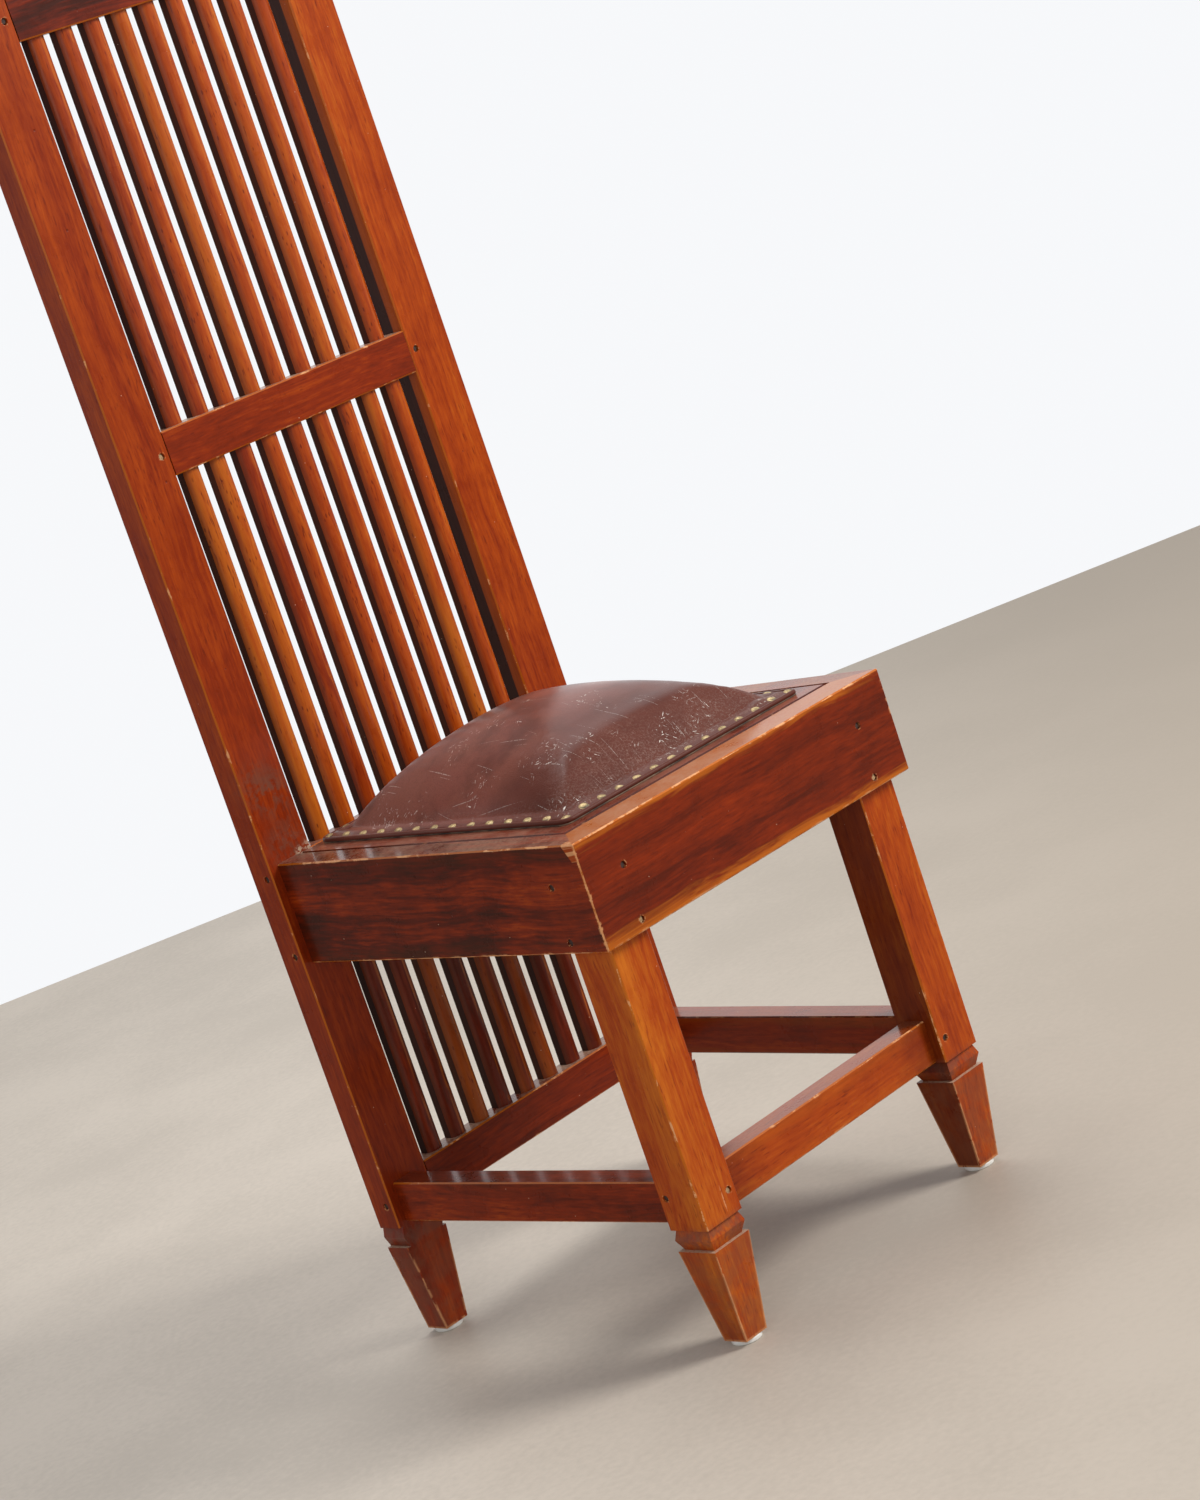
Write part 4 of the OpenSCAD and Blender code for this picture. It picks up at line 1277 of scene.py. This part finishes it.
@dataclass
class ChairFrame:
    """The glued wooden frame: posts, legs, rails, aprons, stretchers and spindles.

    Attributes:
        splay: Angle of the side aprons and stretchers.
        pitch: Distance between spindles.
        spindles: Number of spindles in a row.
        rows: The rows of spindles, each with its tone.
        row_contrast: Strength of the spindles' figure.
        skin: How deep below a face a peg's end may lie, from and to, to leave a mark there.
        varnish: Finish of all that shows.
        blocks: Finish of the corner blocks.
        steel: Finish of the screws.
    """

    splay: float = math.atan(0.008 / 0.374)
    pitch: float = 0.02999
    spindles: int = 9
    rows: tuple[tuple[str, float], ...] = (("lower", -0.22), ("middle", 0.08), ("upper", 0.08))
    row_contrast: float = 0.35
    skin: Band = (-0.002, 0.0035)
    varnish: Varnish = Varnish()
    blocks: Plain = Plain((0.11, 0.03, 0.014), (0.055, 0.018, 0.010))
    steel: Plain = Plain((0.32, 0.31, 0.30), (0.17, 0.165, 0.16), 300.0, 0.4, 1.0)

    def _boards(self) -> tuple[Board, ...]:
        """Lists the frame members.

        Returns:
            One board for each, apart from the spindles.
        """
        splay, up, across, along = self.splay, Grain.UP, Grain.ACROSS, Grain.ALONG
        smudges = ((-0.172, 0.1735, 0.508), (-0.160, 0.1735, 0.494), (-0.165, 0.1735, 0.452))
        scratches = (((-0.151, -0.189, 0.120), 0.018),)
        post_toe, leg_toe = (0.0118, 0.001), (0.009, 0.009)
        seams = (((-0.1425, 0.1735, 0.442), 0.010), ((-0.1550, 0.1720, 0.441), 0.007))
        return (
            Board("left_post", up, -0.10, 0.36, climb=0.09, shaded_side=1.0, toe=post_toe, smudges=smudges,
                  dusty=seams),
            Board("right_post", up, -0.05, 0.46, climb=0.13, shaded_side=-1.0, shade=0.92, shade_from=0.1855,
                  toe=post_toe),
            Board("front_left_leg", up, 0.18, 0.50, 0.7, toe=leg_toe, scratches=scratches),
            Board("front_right_leg", up, 0.06, 0.48, 0.7, shaded_side=-1.0, toe=leg_toe),
            Board("crest_rail", across, -0.31, 0.80),
            Board("middle_rail", across, -0.09, settled=0.9),
            Board("back_seat_rail", across, -0.10),
            Board("bottom_rail", across, -0.19, settled=0.7),
            Board("left_apron", along, -0.27, 0.74, 0.9, 0.02, splay, corner=0.4, painted_front_light=0.12,
                  spline=True, dusty=seams),
            Board("right_apron", along, -0.14, 0.4, 0.9, 0.12, -splay),
            Board("front_apron", across, -0.19, 0.34, 0.9, 0.70, corner=0.9, settled=0.35),
            Board("left_stretcher", along, -0.16, 0.5, 0.4, 0.02, splay, settled=0.05),
            Board("right_stretcher", along, -0.11, 0.4, 0.8, 0.15, -splay, settled=0.15),
            Board("front_stretcher", across, 0.08, 0.4, 0.8, 0.2, settled=0.2, end_shade=0.55),
        )

    def _marks(self, points: list[Vector], ends: list[Vector]) -> tuple[Vector, ...]:
        """Picks the peg ends near a piece's faces.

        Args:
            points: The piece's points.
            ends: All pegs' ends.

        Returns:
            The ends that show on the piece.
        """
        low, high = corners(points)
        found = []
        for end in ends:
            depth = min(min(end[i] - low[i], high[i] - end[i]) for i in range(3))
            if self.skin[0] < depth < self.skin[1]:
                found.append(end)
        return tuple(found)

    def build(self) -> None:
        """Dresses the whole frame and makes its pegs."""
        ends = Pegs().build()
        for seed, board in enumerate(self._boards(), 1):
            points = [vert.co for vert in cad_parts[board.node].data.vertices]
            turned = Matrix.Rotation(board.turn, 3, "Z")
            box = corners([turned @ point for point in points])
            dress(board.node, self.varnish.on_board(board, seed, box, self._marks(points, ends)))
        for seed, (row, tone) in enumerate(self.rows, 31):
            box = tuple(Vector(corner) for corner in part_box(f"{row}_spindle_1"))
            board = Board(f"{row}_spindle", Grain.UP, tone, self.row_contrast)
            material = self.varnish.on_row(board, seed, box, self.pitch)
            for number in range(1, self.spindles + 1):
                dress(f"{row}_spindle_{number}", material)
        hidden = self.blocks.material("block_wood")
        for node in ("back_left_block", "back_right_block", "front_left_block", "front_right_block"):
            dress(node, hidden)
        dress("block_screws", self.steel.material("dull_steel"))


@dataclass
class Glides:
    """The plastic glides under the feet, each a disc with a rounded rim on a thin shank."""

    nodes: tuple[str, ...] = ("back_left_glide", "back_right_glide", "front_left_glide", "front_right_glide")
    disc_h: float = 0.004
    shank_r: float = 0.002
    rim: float = 0.0012
    rim_steps: int = 4
    sides: int = 40
    plastic: Plain = Plain((0.80, 0.79, 0.75), (0.70, 0.68, 0.63), 90.0, 0.45, 0.0, 0.0001)

    def build(self) -> None:
        """Makes the glides."""
        material = self.plastic.material("pale_plastic")
        for node in self.nodes:
            low, high = (Vector(corner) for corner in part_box(node))
            middle, r, top = (low + high) / 2, (high.x - low.x) / 2, high.z - low.z
            outline = ((0.0, 0.0), (r, 0.0), (r, self.disc_h), (self.shank_r, self.disc_h),
                       (self.shank_r, top), (0.0, top))
            bm = bmesh.new()
            verts = [bm.verts.new((x, 0.0, z)) for x, z in outline]
            for pair in zip(verts, verts[1:]):
                bm.edges.new(pair)
            bmesh.ops.bevel(bm, geom=verts[1:3], offset=self.rim, segments=self.rim_steps, profile=0.5,
                            affect="VERTICES", material=-1)
            bmesh.ops.spin(bm, geom=bm.verts[:] + bm.edges[:], cent=(0, 0, 0), axis=(0, 0, 1), dvec=(0, 0, 0),
                           angle=math.tau, steps=self.sides, use_merge=True, use_duplicate=False)
            bmesh.ops.remove_doubles(bm, verts=bm.verts, dist=WELD)
            bmesh.ops.recalc_face_normals(bm, faces=bm.faces)
            bmesh.ops.translate(bm, vec=(middle.x, middle.y, low.z), verts=bm.verts)
            glide = shown(node + "_cap", bm, (material,))
            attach(glide, "frame")
            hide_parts(node)


@dataclass
class LeatherPad:
    """The stuffed leather pad: a crowned cover, held down by nails round a folded edge.

    Attributes:
        voxel: Size of the cells that the cover is remeshed with.
        pressure: Pressure of the stuffing in the cloth simulation.
        frames: Length of the simulation.
        rise_cap: The most that a point may move in it.
        held_below: Height below which the nails hold the leather.
        lining_gap: How near the stuffing the cover's inner side lies.
        level: How far two heights may differ at the cover's foot.
        facing_up: Least upward part of the normal on the top.
        edge_steps: Points set along each stretch of the outline.
        dimple: How deep a nail presses the leather in.
        dimple_reach: How far from the nail.
        fold_r: Radius of the folded edge.
        fold_over: How far the fold stands out past the pad.
        fold_lift: How far the fold stands above the seat frame.
        raw_r: Radius of the cut edge.
        raw_z: Height of the cut edge's middle.
        band_foot: Height of the nailed band at the outline.
        band_slope: Its rise per metre inward.
        band_in: Distance from the outline up to which the band keeps its slope.
        band_out: Distance at which the crown begins.
        ridge: Height of the crest along the front.
        ridge_w: Width of the crest.
        ridge_end: Distance from the left and right ends at which the crest begins.
        ridge_run: Length over which it rises.
        crest_in: How far the crest curves back.
        crest_turn: Distance from the ends over which it curves.
        finish: Finish of the leather.
        raw: Finish of its cut edge, near-black in patches as a painted shadow line under the fold.
    """

    voxel: float = 0.0045
    pressure: float = 4.0
    frames: int = 20
    rise_cap: float = 0.005
    held_below: float = 0.446
    lining_gap: float = 2e-4
    level: float = 1e-5
    facing_up: float = 0.15
    edge_steps: int = 12
    dimple: float = 0.0006
    dimple_reach: float = 0.0060
    fold_r: float = 0.0022
    fold_over: float = 0.0004
    fold_lift: float = 0.0006
    raw_r: float = 0.0006
    raw_z: float = 0.0005
    band_foot: float = 0.0026
    band_slope: float = 0.34
    band_in: float = 0.0110
    band_out: float = 0.0200
    ridge: float = 0.0038
    ridge_w: float = 0.0170
    ridge_end: float = 0.015
    ridge_run: float = 0.03
    crest_in: float = 0.048
    crest_turn: float = 0.075
    finish: Leather = Leather()
    raw: Plain = Plain((0.014, 0.009, 0.007), (0.20, 0.13, 0.08), 45.0, 0.8)

    def _shell(self) -> bpy.types.Mesh:
        """Copies the outside of the cover as one closed skin.

        Returns:
            The skin.
        """
        inner = [vert.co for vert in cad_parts["seat_stuffing"].data.vertices]
        tree = KDTree(len(inner))
        for index, point in enumerate(inner):
            tree.insert(point, index)
        tree.balance()
        bm = bmesh.new()
        bm.from_mesh(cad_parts["leather_cover"].data)
        bmesh.ops.remove_doubles(bm, verts=bm.verts, dist=self.level)
        lining = [vert for vert in bm.verts if tree.find(vert.co)[2] < self.lining_gap]
        bmesh.ops.delete(bm, geom=lining, context="VERTS")
        rim = [edge for edge in bm.edges if edge.is_boundary]
        bmesh.ops.holes_fill(bm, edges=rim)
        bmesh.ops.recalc_face_normals(bm, faces=bm.faces)
        mesh = bpy.data.meshes.new("pad_shell")
        bm.to_mesh(mesh)
        bm.free()
        return mesh

    def _applied(self, pad: bpy.types.Object) -> None:
        """Turns what the modifiers make into the piece's own mesh.

        Args:
            pad: The piece.
        """
        graph = bpy.context.evaluated_depsgraph_get()
        mesh = bpy.data.meshes.new_from_object(pad.evaluated_get(graph))
        pad.modifiers.clear()
        pad.data = mesh

    def _stuff(self, pad: bpy.types.Object) -> None:
        """Swells the crown by cloth simulation, with the nailed band held.

        Args:
            pad: The remeshed pad.
        """
        start = [vert.co.copy() for vert in pad.data.vertices]
        nailed = [index for index, point in enumerate(start) if point.z < self.held_below]
        pad.vertex_groups.new(name="held").add(nailed, 1.0, "REPLACE")
        cloth = pad.modifiers.new("cloth", "CLOTH")
        cloth.settings.use_pressure = True
        cloth.settings.uniform_pressure_force = self.pressure
        cloth.settings.vertex_group_mass = "held"
        cloth.settings.effector_weights.gravity = 0.0
        cloth.point_cache.frame_start, cloth.point_cache.frame_end = 1, self.frames
        for number in range(1, self.frames + 1):
            bpy.context.scene.frame_set(number)
        self._applied(pad)
        for vert, before in zip(pad.data.vertices, start):
            move = vert.co - before
            if move.length > self.rise_cap:
                vert.co = before + move.normalized() * self.rise_cap
        bpy.context.scene.frame_set(1)

    def _outline(self, shell: bpy.types.Mesh) -> list[Vector]:
        """Lists the cover's lowest points in order round the seat.

        Args:
            shell: The cover's skin.

        Returns:
            The points.
        """
        foot = min(vert.co.z for vert in shell.vertices)
        rim = [vert.co.copy() for vert in shell.vertices if vert.co.z < foot + self.level]
        middle = sum(rim, Vector()) / len(rim)
        return sorted(rim, key=lambda point: math.atan2(point.y - middle.y, point.x - middle.x))

    def _shape(self, pad: bpy.types.Object, rim: list[Vector], nails: list[Vector]) -> None:
        """Slopes the nailed band, presses it in round each nail and raises the crest along the front.

        Args:
            pad: The pad.
            rim: The cover's outline.
            nails: Places of the nails.
        """
        edge = KDTree(len(rim) * self.edge_steps)
        for index, point in enumerate(rim):
            following = rim[(index + 1) % len(rim)]
            for step in range(self.edge_steps):
                spot = point.lerp(following, step / self.edge_steps)
                edge.insert((spot.x, spot.y, 0.0), index)
        edge.balance()
        held = KDTree(len(nails))
        for index, nail in enumerate(nails):
            held.insert((nail.x, nail.y, 0.0), index)
        held.balance()
        low, high = corners(rim)
        upward = [vert.normal.z > self.facing_up for vert in pad.data.vertices]
        for vert in pad.data.vertices:
            spot = Vector((vert.co.x, vert.co.y, 0.0))
            inside = edge.find(spot)[2]
            if upward[vert.index]:
                share = 1.0 - smooth((inside - self.band_in) / (self.band_out - self.band_in))
                band = low.z + self.band_foot + self.band_slope * inside
                vert.co.z += (band - vert.co.z) * share
                vert.co.z -= self.dimple * math.exp(-(held.find(spot)[2] / self.dimple_reach) ** 2)
            inward = min(spot.x - low.x, high.x - spot.x)
            aside = spot.y - low.y - self.crest_in * smooth(inward / self.crest_turn)
            rise = smooth((inward - self.ridge_end) / self.ridge_run)
            vert.co.z += self.ridge * rise * math.exp(-(aside / self.ridge_w) ** 2)

    def _ring(self, name: str, rim: list[Vector], height: float, inset: float, r: float,
              material: bpy.types.Material) -> None:
        """Runs a round bead along the cover's outline.

        Args:
            name: The piece's name.
            rim: The outline.
            height: Height of the bead's middle above the seat frame.
            inset: Distance of its middle inside the outline.
            r: The bead's radius.
            material: Its finish.
        """
        curve = bpy.data.curves.new(name, "CURVE")
        curve.dimensions, curve.bevel_depth, curve.bevel_resolution = "3D", r, 3
        spline = curve.splines.new("POLY")
        spline.points.add(len(rim) - 1)
        spline.use_cyclic_u = True
        for index, point in enumerate(rim):
            before, after = rim[index - 1], rim[(index + 1) % len(rim)]
            inward = Vector((before.y - after.y, after.x - before.x, 0.0)).normalized() * inset
            spline.points[index].co = (point.x + inward.x, point.y + inward.y, point.z + height, 1.0)
        bead = placed(name, curve)
        mesh = bpy.data.meshes.new_from_object(bead.evaluated_get(bpy.context.evaluated_depsgraph_get()))
        bpy.data.objects.remove(bead)
        bm = bmesh.new()
        bm.from_mesh(mesh)
        bmesh.ops.remove_doubles(bm, verts=bm.verts, dist=WELD)
        bmesh.ops.recalc_face_normals(bm, faces=bm.faces)
        for face in bm.faces:
            face.smooth, face.material_index = True, 0
        piece = shown(name, bm, (material,))
        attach(piece, "seat")

    def build(self, nails: list[Vector]) -> bpy.types.Object:
        """Makes the pad, its folded edge and the raw edge under it, whose near-black patches are a painted
        shadow line.

        Args:
            nails: Places of the nails.

        Returns:
            The pad.
        """
        pad = placed("leather_pad", self._shell())
        rim = self._outline(pad.data)
        low, high = corners(rim)
        middle, inset = (low + high) / 2, self.fold_r - self.fold_over
        shrink = 1.0 - inset / ((high.x - low.x) / 2)
        narrowed = Matrix.Diagonal((shrink, shrink, 1.0, 1.0))
        pad.data.transform(Matrix.Translation(middle) @ narrowed @ Matrix.Translation(-middle))
        remesh = pad.modifiers.new("remesh", "REMESH")
        remesh.mode, remesh.voxel_size = "VOXEL", self.voxel
        self._applied(pad)
        self._stuff(pad)
        ease = pad.modifiers.new("ease", "SMOOTH")
        ease.factor, ease.iterations = 0.5, 2
        round_off = pad.modifiers.new("round_off", "SUBSURF")
        round_off.levels = round_off.render_levels = 1
        self._applied(pad)
        self._shape(pad, rim, nails)
        for face in pad.data.polygons:
            face.use_smooth = True
        low, high = corners([vert.co for vert in pad.data.vertices])
        leather = self.finish.material("maroon_leather", low)
        pad.data.materials.clear()
        pad.data.materials.append(leather)
        self._ring("folded_edge", rim, self.fold_r + self.fold_lift, inset, self.fold_r, leather)
        # The raw edge's near-black is a painted shadow line under the fold; its tan is the cut edge's own
        # colour.
        self._ring("raw_edge", rim, self.raw_z, self.raw_r, self.raw_r, self.raw.material("raw_edge_and_shadow_line"))
        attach(pad, "seat")
        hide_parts("leather_cover", "seat_stuffing")
        LOG.info("leather_pad: %d faces, %s to %s", len(pad.data.polygons), tuple(low), tuple(high))
        return pad


@dataclass
class NailRow:
    """The brass nails round the pad's edge.

    Attributes:
        head_r: Radius of a head.
        head_h: Height of its dome.
        flatness: Height of the dome as a share of that, on average.
        squash: How much a dome's height varies about it, from and to.
        rim_w: Width of the rim round the dome.
        skirt: How far the head reaches below its foot.
        dent: Depth of the dent in each head.
        dent_r: Radius of the dent.
        dent_off: Its distance from the head's middle, from and to, as a share of the radius.
        wobble: How crookedly a nail is driven.
        upright: How far it is turned from the leather's own direction towards that.
        sunk: How far it is pressed into the leather.
        look_down: Height above a nail from which the leather is searched.
        rings: Rings of faces on the dome.
        sides: Sides of a head.
        seed: Seed of the unevenness.
        finish: Finish of the dome.
        tarnish: Finish of the rim.
    """

    head_r: float = 0.005
    head_h: float = 0.0024
    flatness: float = 0.95
    squash: Band = (0.85, 1.1)
    rim_w: float = 0.0005
    skirt: float = 0.0008
    dent: float = 0.0005
    dent_r: float = 0.002
    dent_off: Band = (0.2, 0.5)
    wobble: float = 0.1
    upright: float = 0.2
    sunk: float = 0.0001
    look_down: float = 0.05
    rings: int = 4
    sides: int = 18
    seed: int = 11
    finish: Brass = Brass()
    tarnish: Plain = Plain((0.030, 0.018, 0.012), (0.10, 0.07, 0.04), 500.0, 0.6, 0.2)

    def places(self) -> list[Vector]:
        """Finds where the nails are.

        Returns:
            The foot of each nail's head, on its axis.
        """
        found = []
        for points in islands("brass_nails"):
            low, high = corners(points)
            found.append(Vector(((low.x + high.x) / 2, (low.y + high.y) / 2, high.z - self.head_h)))
        return found

    def _head(self, bm: bmesh.types.BMesh, dice: random.Random) -> list[bmesh.types.BMVert]:
        """Spins one dented head about its axis.

        Args:
            bm: The mesh.
            dice: Source of the unevenness.

        Returns:
            The head's points.
        """
        before = set(bm.verts)
        dome_r = self.head_r - self.rim_w
        ball_r = (dome_r ** 2 + self.head_h ** 2) / (2 * self.head_h)
        tip = math.asin(dome_r / ball_r)
        outline = []
        for number in range(self.rings + 1):
            angle = tip * number / self.rings
            outline.append((ball_r * math.sin(angle), ball_r * (math.cos(angle) - 1) + self.head_h))
        outline += [(self.head_r, 0.0), (self.head_r, -self.skirt), (0.0, -self.skirt)]
        verts = [bm.verts.new((x, 0.0, z)) for x, z in outline]
        edges = [bm.edges.new(pair) for pair in zip(verts, verts[1:])]
        bmesh.ops.spin(bm, geom=verts + edges, cent=(0, 0, 0), axis=(0, 0, 1), dvec=(0, 0, 0), angle=math.tau,
                       steps=self.sides, use_merge=True, use_duplicate=False)
        fresh = [vert for vert in bm.verts if vert not in before]
        for face in {face for vert in fresh for face in vert.link_faces}:
            face.material_index = int(face.calc_center_median().to_2d().length > dome_r)
        way, reach = dice.uniform(0, math.tau), dice.uniform(*self.dent_off) * self.head_r
        dented = Vector((math.cos(way) * reach, math.sin(way) * reach, 0.0))
        for vert in fresh:
            if vert.co.z > 0.0:
                away = (Vector((vert.co.x, vert.co.y, 0.0)) - dented).length
                vert.co.z -= self.dent * math.exp(-(away / self.dent_r) ** 2)
        return fresh

    def build(self, pad: bpy.types.Object) -> None:
        """Makes the nails as one piece, each driven square to the leather under it.

        Args:
            pad: The pad that they hold down.
        """
        dice = random.Random(self.seed)
        points = [vert.co for vert in pad.data.vertices]
        leather = BVHTree.FromPolygons(points, [face.vertices for face in pad.data.polygons])
        up = Vector((0.0, 0.0, 1.0))
        bm = bmesh.new()
        for place in self.places():
            fresh = self._head(bm, dice)
            spot, normal = leather.ray_cast(place + up * self.look_down, -up)[:2]
            askew = [dice.uniform(-self.wobble, self.wobble) for _ in range(2)]
            lean = normal.lerp(Vector((*askew, 1.0)), self.upright).normalized()
            turn = lean.to_track_quat("Z", "Y").to_matrix().to_4x4()
            flat = Matrix.Diagonal((1.0, 1.0, dice.uniform(*self.squash) * self.flatness, 1.0))
            driven = Matrix.Translation(spot - lean * self.sunk) @ turn @ flat
            bmesh.ops.transform(bm, matrix=driven, verts=fresh)
        bmesh.ops.remove_doubles(bm, verts=bm.verts, dist=WELD)
        bmesh.ops.recalc_face_normals(bm, faces=bm.faces)
        for face in bm.faces:
            face.smooth = True
        finishes = (self.finish.material("brass"), self.tarnish.material("tarnished_rim"))
        nails = shown("nail_heads", bm, finishes)
        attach(nails, "seat")
        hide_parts("brass_nails")


@dataclass
class DropInSeat:
    """The seat that lifts out: a wooden frame with a board, the pad and its nails."""

    varnish: Varnish = Varnish()
    board: Plain = Plain((0.42, 0.30, 0.17), (0.33, 0.22, 0.12), 40.0)

    def build(self) -> None:
        """Builds and dresses the seat."""
        crumbs = (((-0.150, 0.165, 0.440), 0.012), ((0.150, 0.165, 0.440), 0.012))
        boards = (
            Board("seat_frame_front", Grain.ACROSS, -0.20, settled=0.2, shaded_arrises=True),
            Board("seat_frame_back", Grain.ACROSS, -0.10, shaded_arrises=True),
            Board("seat_frame_left", Grain.ALONG, -0.12, settled=0.3, dusty=crumbs[:1], shaded_arrises=True),
            Board("seat_frame_right", Grain.ALONG, -0.12, settled=0.3, dusty=crumbs[1:], shaded_arrises=True),
        )
        for seed, board in enumerate(boards, 51):
            box = tuple(Vector(corner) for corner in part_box(board.node))
            dress(board.node, self.varnish.on_board(board, seed, box))
        dress("seat_board", self.board.material("thin_board"))
        nails = NailRow()
        nails.build(LeatherPad().build(nails.places()))


def main() -> None:
    """Builds the chair's looks and the studio, in order."""
    logging.basicConfig(level=logging.INFO, format="%(message)s")
    Viewpoint().build()
    Studio().build()
    ChairFrame().build()
    Glides().build()
    DropInSeat().build()


if __name__ == "__main__":
    main()
